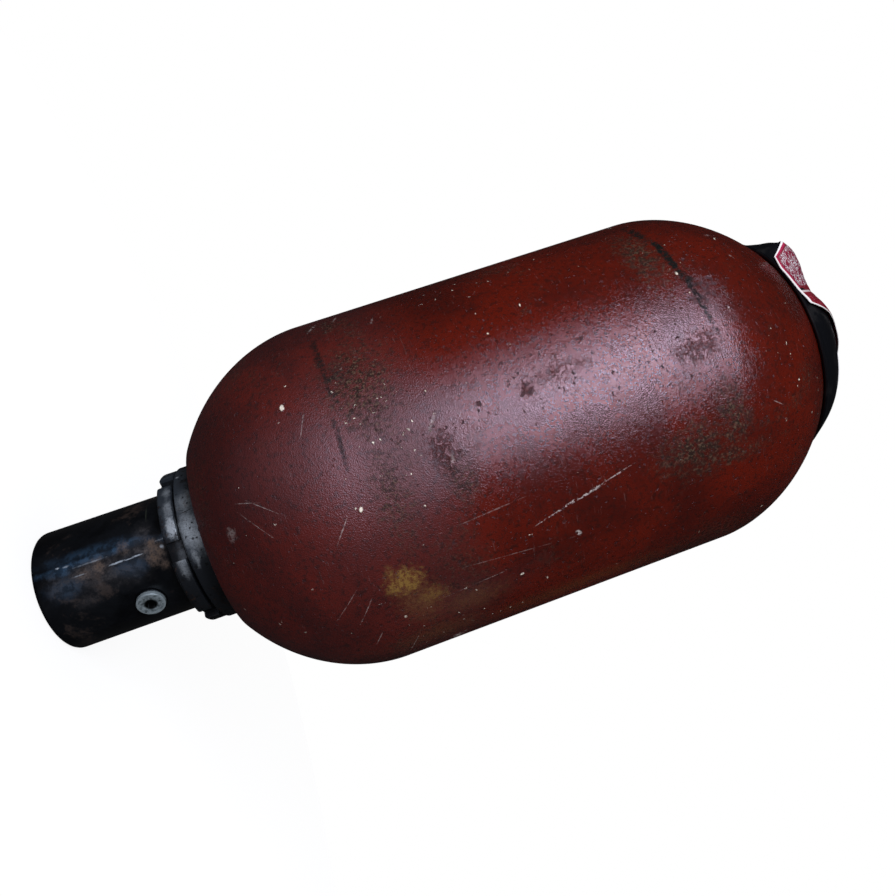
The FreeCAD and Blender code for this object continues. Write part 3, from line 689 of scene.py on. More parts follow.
# each kind of mark has its usual edge, which a single mark may change
band = partial(Mark, ragged=1.8, softness=0.8, grain=420)
stain = partial(Mark, ragged=1.5, softness=1.0, grain=200)
veil = partial(Mark, ragged=0.8, softness=1.0, grain=40)
smear = partial(Mark, ragged=1.6, softness=1.0, grain=420)
wash = partial(Mark, ragged=1.4, softness=1.0, grain=320)
gouge = partial(Mark, ragged=1.8, softness=0.8, grain=900)
chip = partial(Mark, ragged=0.8, softness=0.4, grain=700)
dusting = partial(Mark, ragged=1.2, softness=1.0, grain=120)
scratch = partial(Mark, ragged=3.0, softness=0.9, grain=200)
scar = partial(Mark, ragged=2.2, softness=1.0, grain=200)
sheen = partial(Mark, ragged=0.9, softness=1.0, grain=120)
rust_spot = partial(Mark, ragged=1.9, softness=1.0, grain=260)
haze_spot = partial(Mark, ragged=1.2, softness=1.0, grain=130)
glint = partial(Mark, ragged=1.6, softness=0.9, grain=700)
hairline = partial(Mark, ragged=0.6, softness=0.6, grain=500)
rub = partial(Mark, ragged=1.3, softness=1.0, grain=300)


def any_mark(sheet: Sheet, place: Socket, group: Sequence[Mark]) -> Socket:
    """Highest mask of several marks."""
    return reduce(sheet.most, [mark.mask(sheet, place) for mark in group])


@dataclass(frozen=True)
class Gloss:
    """Uniform surface values, set on the shader's own sockets."""

    metallic: float = 0.0
    roughness: float = 0.5
    level: float = 0.5
    tint: str = "#ffffff"


class Finish:
    """A material with one Principled shader; a subclass draws its colour and relief."""

    name: str
    gloss: Gloss

    def material(self) -> bpy.types.Material:
        """Build the material."""
        made = bpy.data.materials.new(self.name)
        sheet = blank_sheet(made)
        shader = sheet.node("ShaderNodeBsdfPrincipled")
        sheet.show("ShaderNodeOutputMaterial", shader)
        sheet.feed(shader.inputs["Metallic"], self.gloss.metallic)
        sheet.feed(shader.inputs["Roughness"], self.gloss.roughness)
        sheet.feed(shader.inputs["Specular IOR Level"], self.gloss.level)
        sheet.feed(shader.inputs["Specular Tint"], self.gloss.tint)
        self.draw(sheet, shader)
        return made

    def draw(self, sheet: Sheet, shader: bpy.types.Node) -> None:
        """Draw the nodes that feed the shader."""
        raise NotImplementedError

    @staticmethod
    def relief(sheet: Sheet, shader: bpy.types.Node, height: Socket, depth: float) -> None:
        """Feed the shader a bump.

        Args:
            sheet: Sheet to draw on.
            shader: The Principled shader.
            height: Height between 0 and 1.
            depth: What a height of 1 stands for, in millimetres.
        """
        bump = sheet.node("ShaderNodeBump")
        sheet.feed(bump.inputs["Strength"], 1.0)
        sheet.feed(bump.inputs["Distance"], depth * MM)
        sheet.feed(bump.inputs["Height"], height)
        sheet.feed(shader.inputs["Normal"], bump.outputs[0])


@dataclass(frozen=True)
class ShellPaint(Finish):
    """Oxide-red satin paint over a forged surface, with grime, chips, pits and scuffs."""

    name = "oxide_red_paint"
    gloss = Gloss(roughness=0.4, level=1.0, tint="#ffe2ee")
    red: str = "#551104"
    deep_red: str = "#400c04"
    dull_red: str = "#4f2220"
    grime: str = "#1f180f"
    dust: str = "#5b4a38"
    clamp_dirt: str = "#131614"
    ochre: str = "#7a5a1e"
    brown: str = "#5c3518"
    bare: str = "#b9b0aa"
    chalk: str = "#e6dcc8"
    pit: str = "#1d0f0c"
    # dark bare steel of both necks; at the port neck it also paints the shade between spacer and shell
    neck: str = "#1a1614"
    middle: float = 300.0
    neck_edge: tuple[float, float] = (68.5, 65.0)
    crown_edge: tuple[float, float] = (42.5, 40.0)
    crest: float = -16.0
    beside_crest: tuple[float, float] = (75.0, 10.0)
    worn_from: tuple[float, float] = (200.0, 270.0)
    worn_to: tuple[float, float] = (445.0, 415.0)
    satin_from: tuple[float, float] = (225.0, 270.0)

    clamp_lines = (
        band(-112, 411, 34, 2.3, 1.0, tilt=2, ragged=1.4, softness=0.5),
        band(-128, 410, 30, 3.0, 1.0, tilt=-2, ragged=1.2, softness=0.5),
        band(-145, 408, 22, 4.5, 0.9, ragged=1.6),
        band(-117, 412, 9, 4.0, 0.9, tilt=8, ragged=1.6, grain=300),
        band(-130, 200, 44, 3.2, 0.8, tilt=2),
        band(-104, 197, 26, 2.2, 0.75, tilt=-2),
        band(-124, 206, 12, 14, 0.6, softness=0.9, grain=360),
    )
    grime_marks = (
        stain(-132, 397, 42, 17, 1.0, ragged=1.8, softness=0.9, grain=260),
        stain(-118, 216, 46, 28, 1.0, ragged=1.6, softness=0.9),
        stain(-70, 380, 20, 30, 1.0, softness=0.8),
        stain(-76, 407, 26, 14, 1.0, softness=0.8),
        stain(-64, 398, 9, 40, 0.7, softness=0.9),
        stain(-84, 252, 20, 13, 0.8, ragged=1.8),
        stain(-150, 212, 18, 14, 0.9, ragged=1.8),
        stain(-86, 214, 44, 16, 0.8, ragged=1.6),
        stain(-153, 203, 14, 12, 0.65, ragged=1.8, grain=150),
        stain(-60, 238, 34, 26, 0.35, grain=70),
        stain(-30, 205, 40, 60, 0.55, ragged=1.2, grain=50),
        stain(-28, 395, 34, 60, 0.35, ragged=1.2, grain=50),
        stain(-98, 226, 30, 16, 0.4, ragged=1.6, grain=90),
        # this stain darkens the shell along the cap's rim
        stain(-52, 486, 34, 8, 0.9, ragged=1.4, grain=120),
    )
    dull_marks = (
        veil(-104, 160, 40, 46, 0.85),
        veil(-96, 225, 44, 44, 0.7, ragged=0.9),
        veil(-48, 240, 26, 60, 0.55, grain=30),
    )
    ochre_marks = (
        smear(-61.5, 205, 12, 14, 1.2, softness=0.9),
        smear(-66, 199, 7, 4, 0.5, ragged=1.3),
        smear(-54, 218, 9, 12, 0.55),
    )
    brown_marks = (
        wash(-52, 210, 28, 18, 0.95, tilt=18, ragged=1.3),
        wash(-46, 238, 16, 30, 0.7, ragged=1.5),
        wash(-34, 215, 18, 40, 0.6),
        wash(-30, 300, 16, 90, 0.5),
    )
    bare_marks = (
        gouge(-70.9, 334, 0.5, 12, 0.7, tilt=14, ragged=1.6),
        gouge(-68.7, 317, 0.9, 11, 1.0, tilt=15, softness=0.7),
        gouge(-67.9, 313, 0.5, 14, 0.8, tilt=12),
        gouge(-66.9, 301, 0.8, 9, 1.0, tilt=17, softness=0.7),
        gouge(-65.2, 289, 0.45, 10, 0.8, tilt=16),
        gouge(-56.8, 305.5, 3.0, 1.9, 0.95, tilt=32, ragged=1.0, softness=0.5, grain=700),
        gouge(-123.5, 448, 3.2, 1.0, 0.45, tilt=35, ragged=1.2, softness=0.7, grain=700),
        gouge(-136, 447, 1.8, 3.4, 0.35, tilt=20, ragged=1.2, grain=700),
        gouge(-104.5, 424.5, 2.2, 0.9, 0.7, ragged=1.2, softness=0.7, grain=700),
        gouge(-101, 246, 8, 1.4, 0.45, tilt=-38, ragged=2.0, softness=0.9, grain=800),
        gouge(-90, 250, 4, 1.8, 0.3, tilt=-20, ragged=2.6, softness=0.9, grain=800),
        gouge(-22, 225, 7, 5, 0.7, grain=400),
        gouge(-152, 201, 9, 1.5, 0.4, tilt=-24, grain=500),
        gouge(-155, 216, 7, 1.3, 0.35, tilt=-14, grain=500),
        gouge(-143, 236, 5, 1.0, 0.35, tilt=-20, grain=500),
    )
    chalk_marks = (
        chip(-119.6, 173.2, 2.5, 1.7, 1.0),
        chip(-85.3, 196, 1.9, 1.2, 1.0, tilt=-25, ragged=0.9),
        chip(-86, 193.6, 0.8, 0.7, 0.9, ragged=0.9),
        chip(-127.5, 317.5, 1.6, 0.6, 0.9, tilt=-10),
        chip(-42.6, 283.5, 1.4, 0.8, 0.9),
        chip(-48.8, 269, 1.0, 1.6, 0.9, tilt=15, ragged=0.9),
        chip(-121, 293, 0.9, 0.8, 0.8),
        chip(-126.4, 178, 0.8, 0.8, 0.8),
        chip(-109.8, 248.5, 1.0, 0.7, 0.8),
        chip(-120.3, 408, 1.6, 1.0, 0.8, ragged=1.0),
        chip(-80.6, 228, 0.8, 0.8, 0.8),
        chip(-49, 199, 1.2, 1.0, 0.8),
    )
    dusty_marks = (
        dusting(-122, 405, 52, 22, 1.0),
        dusting(-108, 222, 62, 40, 1.0, grain=90),
        dusting(-86, 450, 34, 26, 1.0),
        dusting(-68, 470, 30, 20, 1.0),
        dusting(-35, 225, 50, 60, 0.9, grain=90),
        dusting(-148, 300, 30, 130, 0.5, grain=60),
    )
    scratch_marks = (
        scratch(-82, 184, 0.38, 11, 0.6, tilt=52),
        scratch(-94, 149, 0.38, 14, 0.5, tilt=-40),
        scratch(-90, 141, 0.38, 15, 0.45, tilt=-52),
        scratch(-98, 138, 0.38, 9, 0.4, tilt=-20),
        scratch(-90, 125, 5, 4, 0.4, tilt=20, ragged=2.0, grain=300),
        scratch(-56, 180, 0.38, 16, 0.5, tilt=56),
        scratch(-60, 172, 0.38, 14, 0.4, tilt=48),
        scratch(-33, 199, 0.38, 13, 0.7, tilt=68, ragged=2.2, grain=250),
        scratch(-43, 181, 0.38, 9, 0.6, tilt=62, ragged=2.2, grain=250),
        scratch(-74, 436, 0.38, 5.5, 0.6, tilt=-38, ragged=1.6, softness=0.8, grain=400),
        scratch(-73, 260, 0.38, 30, 0.28, tilt=4, grain=150),
        scratch(-58, 262, 0.38, 34, 0.3, tilt=-6, grain=150),
        scratch(-52, 246, 0.38, 26, 0.3, tilt=5, grain=150),
        scratch(-112, 181, 0.38, 11, 0.5, tilt=68, ragged=2.0, grain=300),
    )
    pit_marks = (
        scar(-101, 300, 6, 7, 0.8, ragged=2.4, grain=500),
        scar(-103, 318, 9, 24, 0.4),
        scar(-97, 400, 12, 20, 0.55),
        scar(-112, 417, 14, 14, 0.6),
        scar(-92, 246, 24, 12, 0.7, ragged=1.6),
    )

    def draw(self, sheet: Sheet, shader: bpy.types.Node) -> None:
        """Lay the paint, then what the years put on it."""
        place = sheet.place()
        face, radius, height = sheet.split(sheet.wrapped(place))
        height = sheet.less(height, DATUM * MM)
        broad = sheet.noise(place, 14.0, 4.0, 0.6, 0.4)
        grain = sheet.use(GRAIN, vector=place, scale=700.0)
        streaks = sheet.use(STREAKS, vector=place, scale=1100.0)["Mask"]

        colour = sheet.mix(sheet.ramp(broad, 0.38, 0.66), self.red, self.deep_red)
        dull = any_mark(sheet, place, self.dull_marks)
        colour = sheet.mix(sheet.times(dull, 0.6), colour, self.dull_red)
        mottle = sheet.noise(place, 360.0, 4.0, 0.72)
        colour = sheet.mix(sheet.ramp(mottle, 0.48, 0.66, 0.0, 0.6), colour, self.pit)

        greasy = sheet.use(BLOOM, vector=place, scale=17.0, cover=0.42)
        dirt = sheet.times(greasy["Mask"], 0.42)
        dirt = sheet.most(dirt, any_mark(sheet, place, self.grime_marks))
        dirt = sheet.times(dirt, sheet.ramp(mottle, 0.40, 0.56, 0.15, 1.0))
        soil = sheet.mix(sheet.ramp(grain["Fine"], 0.50, 0.62), self.grime, self.dust)
        colour = sheet.mix(sheet.times(dirt, 0.85), colour, soil)
        colour = sheet.mix(sheet.times(streaks, 0.06), colour, self.bare)

        brown = sheet.times(any_mark(sheet, place, self.brown_marks),
                            sheet.ramp(grain["Fine"], 0.36, 0.56, 0.35, 1.0))
        colour = sheet.mix(brown, colour, self.brown)
        ochre = sheet.times(any_mark(sheet, place, self.ochre_marks),
                            sheet.ramp(mottle, 0.40, 0.55, 0.25, 1.0))
        colour = sheet.mix(ochre, colour, self.ochre)

        clamp = any_mark(sheet, place, self.clamp_lines)
        clamp = sheet.times(clamp, sheet.ramp(mottle, 0.38, 0.52, 0.3, 1.0))
        colour = sheet.mix(clamp, colour, self.clamp_dirt)

        worn_zone = sheet.times(sheet.fade(height, self.worn_from), sheet.fade(height, self.worn_to))
        from_crest = sheet.math("ABSOLUTE", sheet.less(face, self.crest * MM))
        worn_zone = sheet.times(worn_zone, sheet.fade(from_crest, self.beside_crest))
        small = sheet.use(SPECKLE, vector=place, scale=400.0, size=0.26, share=0.34)["Mask"]
        large = sheet.use(SPECKLE, vector=place, scale=170.0, size=0.17, share=0.34)["Mask"]
        pits = sheet.most(small, large)
        pits = sheet.times(pits, sheet.scaled(worn_zone, 0.6, 0.4))
        scars = sheet.times(any_mark(sheet, place, self.pit_marks), sheet.ramp(mottle, 0.44, 0.56))
        pits = sheet.most(pits, scars)
        colour = sheet.mix(sheet.times(pits, 0.85), colour, self.pit)

        scratches = sheet.times(any_mark(sheet, place, self.scratch_marks),
                                sheet.ramp(grain["Fine"], 0.36, 0.56, 0.15, 0.8))
        colour = sheet.mix(scratches, colour, self.bare)
        bare = any_mark(sheet, place, self.bare_marks)
        bare = sheet.times(bare, sheet.ramp(grain["Fine"], 0.44, 0.54))
        colour = sheet.mix(bare, colour, self.bare)

        flecks = sheet.use(SPECKLE, vector=place, scale=80.0, size=0.07, share=0.42)
        fleck = sheet.times(flecks["Mask"], sheet.ramp(broad, 0.42, 0.60, 0.25, 1.0))
        chalk = sheet.most(fleck, any_mark(sheet, place, self.chalk_marks))
        dots = sheet.use(SPECKLE, vector=place, scale=270.0, size=0.19, share=0.30)["Mask"]
        dusty = sheet.ramp(any_mark(sheet, place, self.dusty_marks), 0.15, 0.45)
        chalk = sheet.most(chalk, sheet.times(dots, dusty))
        colour = sheet.mix(sheet.times(chalk, sheet.ramp(grain["Fine"], 0.42, 0.50)),
                           colour, self.chalk)

        # Dark bare steel at the machined necks; at the port neck this band also paints the shade in the gap
        # between the spacer and the shell.
        below = sheet.fade(height, (self.middle, self.middle - 10.0))
        above = sheet.fade(height, (self.middle, self.middle + 10.0))
        uneven = sheet.scaled(grain["Fine"], 0.004, radius)
        neck = sheet.times(sheet.fade(uneven, self.neck_edge), below)
        crown = sheet.times(sheet.fade(radius, self.crown_edge), above)
        bare_steel_and_shade = sheet.most(neck, crown)
        colour = sheet.mix(bare_steel_and_shade, colour, self.neck)
        sheet.feed(shader.inputs["Base Color"], colour)

        gleam = sheet.blend(sheet.most(dirt, clamp), self.gloss.level, 0.25)
        sheet.feed(shader.inputs["Specular IOR Level"], gleam)
        rough = sheet.fade(height, self.satin_from, 0.42, 0.21)
        rough = sheet.blend(sheet.times(dirt, 0.7), rough, 0.62)
        rough = sheet.blend(pits, rough, 0.75)
        rough = sheet.blend(dull, rough, 0.52)
        rough = sheet.math("ADD", rough, sheet.times(sheet.less(broad, 0.5), 0.16), clamp=True)
        sheet.feed(shader.inputs["Roughness"], rough)

        level = sheet.scaled(grain["Tooth"], 0.32, 0.35)
        level = sheet.plus(level, sheet.times(mottle, 0.10))
        level = sheet.less(level, sheet.times(pits, 0.55))
        level = sheet.less(level, sheet.times(sheet.most(bare, scratches), 0.25))
        level = sheet.plus(level, sheet.times(chalk, 0.6))
        level = sheet.plus(level, sheet.times(streaks, 0.12))
        self.relief(sheet, shader, level, 0.8)


@dataclass(frozen=True)
class BluedSteel(Finish):
    """Black-oxide turned steel of the fluid port, with rust bloom, a painted blue sheen, and worn lines
    painted as glints.
    """

    name = "blued_steel"
    gloss = Gloss(metallic=0.4, roughness=0.36, level=0.5)
    black: str = "#07080b"
    soft_black: str = "#131519"
    # painted reflection: blue sheen of the lamps on the port's highlight band
    blue: str = "#3a5670"
    haze: str = "#4d494a"
    rust: str = "#55402f"
    rust_dark: str = "#33241b"
    # bright worn metal, also a painted highlight: the glints on the highlight's crest
    worn: str = "#c3ccd6"
    ring: str = "#5a6050"
    bore: str = "#5d6063"
    bore_edge: tuple[float, float] = (35.5, 34.5)

    # painted blue sheen, laid along the band where the lamps reflect
    painted_blue_sheen_marks = (
        sheen(-110, 30, 3.5, 46, 1.0, softness=0.9, grain=200),
        sheen(-108, 12, 6, 12, 1.0, grain=200),
        sheen(-117, 30, 6, 44, 0.45),
        sheen(-107, 76, 4, 10, 0.9, grain=160),
        sheen(-92, 12, 10, 16, 0.6),
        sheen(-91, 52, 9, 16, 0.6),
        sheen(-112, 55, 5, 18, 0.8, grain=160),
    )
    rust_marks = (
        rust_spot(-103, 66, 8, 5.0, 0.85),
        rust_spot(-92, 66, 8, 6.0, 0.8),
        rust_spot(-97, 70, 8, 5.0, 0.75),
        rust_spot(-110, 50, 7, 5.0, 0.7),
        rust_spot(-101, 34, 7, 5.5, 0.75),
        rust_spot(-84, 71, 6, 4.0, 0.6),
        rust_spot(-98, 24, 6, 6.0, 0.4),
    )
    haze_marks = (
        haze_spot(-100, 30, 11, 34, 1.0),
        haze_spot(-103, 62, 12, 18, 1.0),
        haze_spot(-89, 40, 12, 44, 0.75),
        haze_spot(-97, 8, 12, 10, 0.7),
        haze_spot(-76, 22, 8, 12, 0.45),
        haze_spot(-120, 63, 8, 9, 0.7),
    )
    # painted glints: worn lines along the crest of the highlight band
    wear_and_glint_marks = (
        glint(-99, 57, 0.7, 4.2, 1.0, ragged=1.1, softness=0.8),
        glint(-98.8, 45, 0.8, 6.5, 1.0, tilt=2, ragged=1.1, softness=0.8),
        glint(-98.4, 52, 0.5, 4.0, 0.8, ragged=1.1, softness=0.8),
        glint(-99.5, 72.5, 1.6, 1.6, 0.55, grain=500),
        glint(-111.5, 10.5, 0.8, 1.6, 1.0, ragged=1.4, softness=0.8),
        glint(-110.5, 15.5, 0.8, 2.6, 0.6),
        glint(-99, 22, 0.5, 5.0, 0.35),
        glint(-106, 75, 0.8, 6.0, 0.45),
        glint(-107, 30, 0.7, 14.0, 0.3, ragged=1.8, grain=500),
    )
    ring_marks = (Mark(-138, 66, 9, 0.35, 0.55, ragged=0.4, softness=0.8, grain=300),)

    def draw(self, sheet: Sheet, shader: bpy.types.Node) -> None:
        """Lay the oxide and its blooms, a painted blue sheen along the highlight band, and the worn lines as
        painted glints.
        """
        place = sheet.place()
        radius = sheet.split(sheet.wrapped(place))[1]
        broad = sheet.noise(place, 34.0, 4.0, 0.65, 0.5)
        grain = sheet.use(GRAIN, vector=place, scale=900.0)
        rings = sheet.use(LATHE, vector=place, scale=2600.0)["Height"]
        bloom = sheet.use(BLOOM, vector=place, scale=42.0, cover=0.44)

        colour = sheet.mix(sheet.ramp(broad, 0.35, 0.65), self.black, self.soft_black)
        cloud = sheet.ramp(sheet.noise(place, 170.0, 5.0, 0.65, 0.3), 0.42, 0.56, 0.35, 1.0)
        # painted reflection: the blue sheen
        blue = sheet.times(any_mark(sheet, place, self.painted_blue_sheen_marks), cloud)
        colour = sheet.mix(blue, colour, self.blue)
        haze = sheet.times(any_mark(sheet, place, self.haze_marks),
                           sheet.times(cloud, sheet.ramp(grain["Fine"], 0.35, 0.6, 0.5, 1.0)))
        colour = sheet.mix(haze, colour, self.haze)
        old_rust = sheet.times(bloom["Mask"], 0.55)
        colour = sheet.mix(old_rust, colour, self.rust_dark)
        rust = sheet.times(any_mark(sheet, place, self.rust_marks),
                           sheet.ramp(grain["Fine"], 0.34, 0.58, 0.3, 1.0))
        colour = sheet.mix(rust, colour, self.rust)
        colour = sheet.mix(any_mark(sheet, place, self.ring_marks), colour, self.ring)
        # painted highlight: bright glints on the worn lines
        worn = any_mark(sheet, place, self.wear_and_glint_marks)
        colour = sheet.mix(worn, colour, self.worn)
        inside = sheet.fade(radius, self.bore_edge)
        colour = sheet.mix(sheet.times(inside, 0.75), colour, self.bore)
        sheet.feed(shader.inputs["Base Color"], colour)

        covered = sheet.most(rust, sheet.times(old_rust, 0.8))
        sheet.feed(shader.inputs["Metallic"], sheet.math("SUBTRACT", 0.45, covered, clamp=True))
        rough = sheet.scaled(broad, 0.22, 0.27)
        rough = sheet.blend(covered, rough, 0.8)
        rough = sheet.blend(worn, rough, 0.24)
        sheet.feed(shader.inputs["Roughness"], rough)
        level = sheet.scaled(rings, 0.35, sheet.times(grain["Height"], 0.4))
        level = sheet.plus(level, sheet.times(covered, 0.25))
        self.relief(sheet, shader, level, 0.06)


@dataclass(frozen=True)
class NutSteel(Finish):
    """Bare steel of the lock nut and spacer: dulled, pitted, and rubbed bright in places, which also paints
    its highlights; painted shade on its +X side and in the slots.
    """

    name = "nut_steel"
    gloss = Gloss(metallic=0.4, roughness=0.42, level=0.4)
    dull: str = "#33383e"
    dark: str = "#101114"
    bright: str = "#9ea3a7"
    rust: str = "#3f2a1e"
    pit: str = "#0c0d0e"
    crack: str = "#060607"
    shaded_side: tuple[float, float] = (-4.0, 16.0)
    slot_floor: tuple[float, float] = (48.2, 47.4)
    nut_top: tuple[float, float] = (93.2, 93.0)
    cracks = (
        hairline(-115, 95, 0.35, 5.0, 0.95, tilt=6),
        hairline(-116.5, 92, 0.3, 2.5, 0.8, tilt=-14),
    )
    # rubbed bright steel, which also stands for painted highlights and corner glints
    wear_and_glint_marks = (
        rub(-108, 84, 9.5, 4.4, 1.2, softness=0.8, grain=420),
        rub(-101, 94, 17.0, 9.0, 0.8, ragged=0.8, softness=0.9),
        rub(-96, 97.0, 14.0, 5.0, 0.8, ragged=1.0),
        rub(-84, 93, 9.0, 3.0, 0.6, softness=0.9, grain=420),
        rub(-82, 84, 13.0, 4.0, 0.6),
        rub(-122, 94, 12, 8.0, 0.5, ragged=1.0, grain=200),
        rub(-122, 84, 9, 4.0, 0.6),
        rub(-149, 91, 1.3, 1.4, 1.0, ragged=1.0, softness=0.7, grain=500),
        rub(-146, 81, 1.8, 2.4, 0.9, ragged=1.0, softness=0.8, grain=500),
        rub(-136, 84, 6, 3.4, 0.5),
    )

    def draw(self, sheet: Sheet, shader: bpy.types.Node) -> None:
        """Lay dark steel with painted shade on its +X side, then pits, rubbed patches that also paint
        highlights, rust in the hollows, and painted shade on the slot floors.
        """
        place = sheet.place()
        grain = sheet.use(GRAIN, vector=place, scale=1100.0)
        bloom = sheet.use(BLOOM, vector=place, scale=50.0, cover=0.5)
        rings = sheet.use(LATHE, vector=place, scale=1800.0)["Height"]
        pits = sheet.use(SPECKLE, vector=place, scale=420.0, size=0.42, share=0.30)["Mask"]
        across, _, height = sheet.split(place)
        radius = sheet.split(sheet.wrapped(place))[1]

        colour = sheet.mix(sheet.times(bloom["Mask"], 0.85), self.dull, self.dark)
        # painted shade: the +X side, away from the lamps, made darker
        lower = sheet.fade(across, self.shaded_side)
        colour = sheet.mix(sheet.times(lower, 0.8), colour, self.dark)
        # rubbed patches, partly painted highlight
        worn = sheet.times(any_mark(sheet, place, self.wear_and_glint_marks),
                           sheet.ramp(grain["Fine"], 0.34, 0.56, 0.55, 1.0))
        colour = sheet.mix(worn, colour, self.bright)
        rusty = sheet.times(bloom["Mask"], sheet.ramp(bloom["Fine"], 0.5, 0.7))
        colour = sheet.mix(sheet.times(rusty, 0.6), colour, self.rust)
        pits = sheet.times(pits, 0.9)
        colour = sheet.mix(pits, colour, self.pit)
        crack = any_mark(sheet, place, self.cracks)
        colour = sheet.mix(crack, colour, self.crack)
        # painted shade on the floors of the spanner slots
        slots = sheet.times(sheet.fade(radius, self.slot_floor), sheet.fade(height, self.nut_top))
        colour = sheet.mix(sheet.times(slots, 0.75), colour, self.dark)
        sheet.feed(shader.inputs["Base Color"], colour)
        rough = sheet.scaled(grain["Fine"], 0.25, 0.30)
        rough = sheet.blend(sheet.most(pits, rusty), rough, 0.75)
        rough = sheet.blend(sheet.times(worn, 0.6), rough, 0.34)
        sheet.feed(shader.inputs["Roughness"], rough)
        level = sheet.scaled(rings, 0.25, sheet.times(grain["Height"], 0.5))
        level = sheet.less(level, sheet.times(pits, 0.5))
        level = sheet.less(level, sheet.times(crack, 0.8))
        self.relief(sheet, shader, level, 0.12)


@dataclass(frozen=True)
class PlainMetal(Finish):
    """Machined metal with lathe marks, light stain and a little grain."""

    name: str
    colour: str
    stain: str
    metallic: float = 1.0
    roughness: float = 0.34
    ring_scale: float = 2200.0
    ring_depth: float = 0.03
    stain_cover: float = 0.42

    @property
    def gloss(self) -> Gloss:
        """Uniform values of this metal."""
        return Gloss(metallic=self.metallic, roughness=self.roughness)

    def draw(self, sheet: Sheet, shader: bpy.types.Node) -> None:
        """Lay metal, stain and tool marks."""
        place = sheet.place()
        bloom = sheet.use(BLOOM, vector=place, scale=70.0, cover=self.stain_cover)
        grain = sheet.use(GRAIN, vector=place, scale=1400.0)
        rings = sheet.use(LATHE, vector=place, scale=self.ring_scale)["Height"]
        stained = sheet.times(bloom["Mask"], 0.7)
        colour = sheet.mix(stained, self.colour, self.stain)
        sheet.feed(shader.inputs["Base Color"], colour)
        rough = sheet.scaled(grain["Fine"], 0.22, self.roughness - 0.11)
        sheet.feed(shader.inputs["Roughness"], sheet.blend(stained, rough, self.roughness + 0.22))
        level = sheet.scaled(rings, 0.5, sheet.times(grain["Height"], 0.5))
        self.relief(sheet, shader, level, self.ring_depth)


@dataclass(frozen=True)
class ZincPlate(Finish):
    """Bright zinc of the bleed screw, with painted shade in its socket, grime round the edge and a painted
    highlight round the rim.
    """

    name = "zinc_plate"
    gloss = Gloss(metallic=0.5, roughness=0.36)
    aim: float
    height: float
    zinc: str = "#5d6669"
    bright: str = "#9aa5a8"
    grime: str = "#1d2020"
    shadow: str = "#040404"
    painted_highlight_rim: tuple[float, float] = (7.0, 7.8)
    dirty_ring: tuple[float, float] = (4.6, 3.6)
    socket: tuple[float, float] = (3.6, 3.2)

    def draw(self, sheet: Sheet, shader: bpy.types.Node) -> None:
        """Lay mottled zinc, with a painted highlight that makes the rim brighter."""
        place = sheet.place()
        mottle = sheet.noise(place, 520.0, 4.0, 0.65)
        grain = sheet.use(GRAIN, vector=place, scale=2200.0)
        specks = sheet.use(SPECKLE, vector=place, scale=700.0, size=0.5, share=0.22)["Mask"]
        colour = sheet.mix(sheet.ramp(mottle, 0.35, 0.65), self.zinc, self.bright)
        colour = sheet.mix(sheet.times(specks, 0.6), colour, self.grime)
        reach = self.from_axis(sheet, place)
        # painted highlight round the head's rim
        colour = sheet.mix(sheet.fade(reach, self.painted_highlight_rim, 0.0, 0.8), colour, self.bright)
        colour = sheet.mix(sheet.fade(reach, self.dirty_ring, 0.0, 0.9), colour, self.grime)
        # painted shade inside the hex socket
        colour = sheet.mix(sheet.fade(reach, self.socket), colour, self.shadow)
        sheet.feed(shader.inputs["Base Color"], colour)
        sheet.feed(shader.inputs["Roughness"], sheet.scaled(mottle, 0.25, 0.26))
        self.relief(sheet, shader, grain["Height"], 0.05)

    def from_axis(self, sheet: Sheet, place: Socket) -> Socket:
        """Distance of the shaded point from the screw's axis."""
        x, y, z = sheet.split(place)
        aim = math.radians(self.aim)
        aside = sheet.less(sheet.times(y, math.cos(aim)), sheet.times(x, math.sin(aim)))
        above = sheet.less(z, self.height * MM)
        return sheet.length(aside, above)


@dataclass(frozen=True)
class Rubber(Finish):
    """Moulded rubber or soft plastic: fine grain, faint dust and soft sheen."""

    name: str
    colour: str
    dust: str
    roughness: float = 0.55
    dusty: float = 0.3
    grain_depth: float = 0.05
    level_of_gloss: float = 0.4

    @property
    def gloss(self) -> Gloss:
        """Uniform values of this moulding."""
        return Gloss(roughness=self.roughness, level=self.level_of_gloss)

    def draw(self, sheet: Sheet, shader: bpy.types.Node) -> None:
        """Lay the moulding's colour, dust and grain."""
        place = sheet.place()
        bloom = sheet.use(BLOOM, vector=place, scale=40.0, cover=0.46)
        grain = sheet.use(GRAIN, vector=place, scale=1500.0)
        dust = sheet.times(bloom["Mask"], self.dusty)
        sheet.feed(shader.inputs["Base Color"], sheet.mix(dust, self.colour, self.dust))
        rough = sheet.scaled(grain["Fine"], 0.2, self.roughness - 0.1)
        sheet.feed(shader.inputs["Roughness"], sheet.blend(dust, rough, 0.8))
        self.relief(sheet, shader, grain["Height"], self.grain_depth)


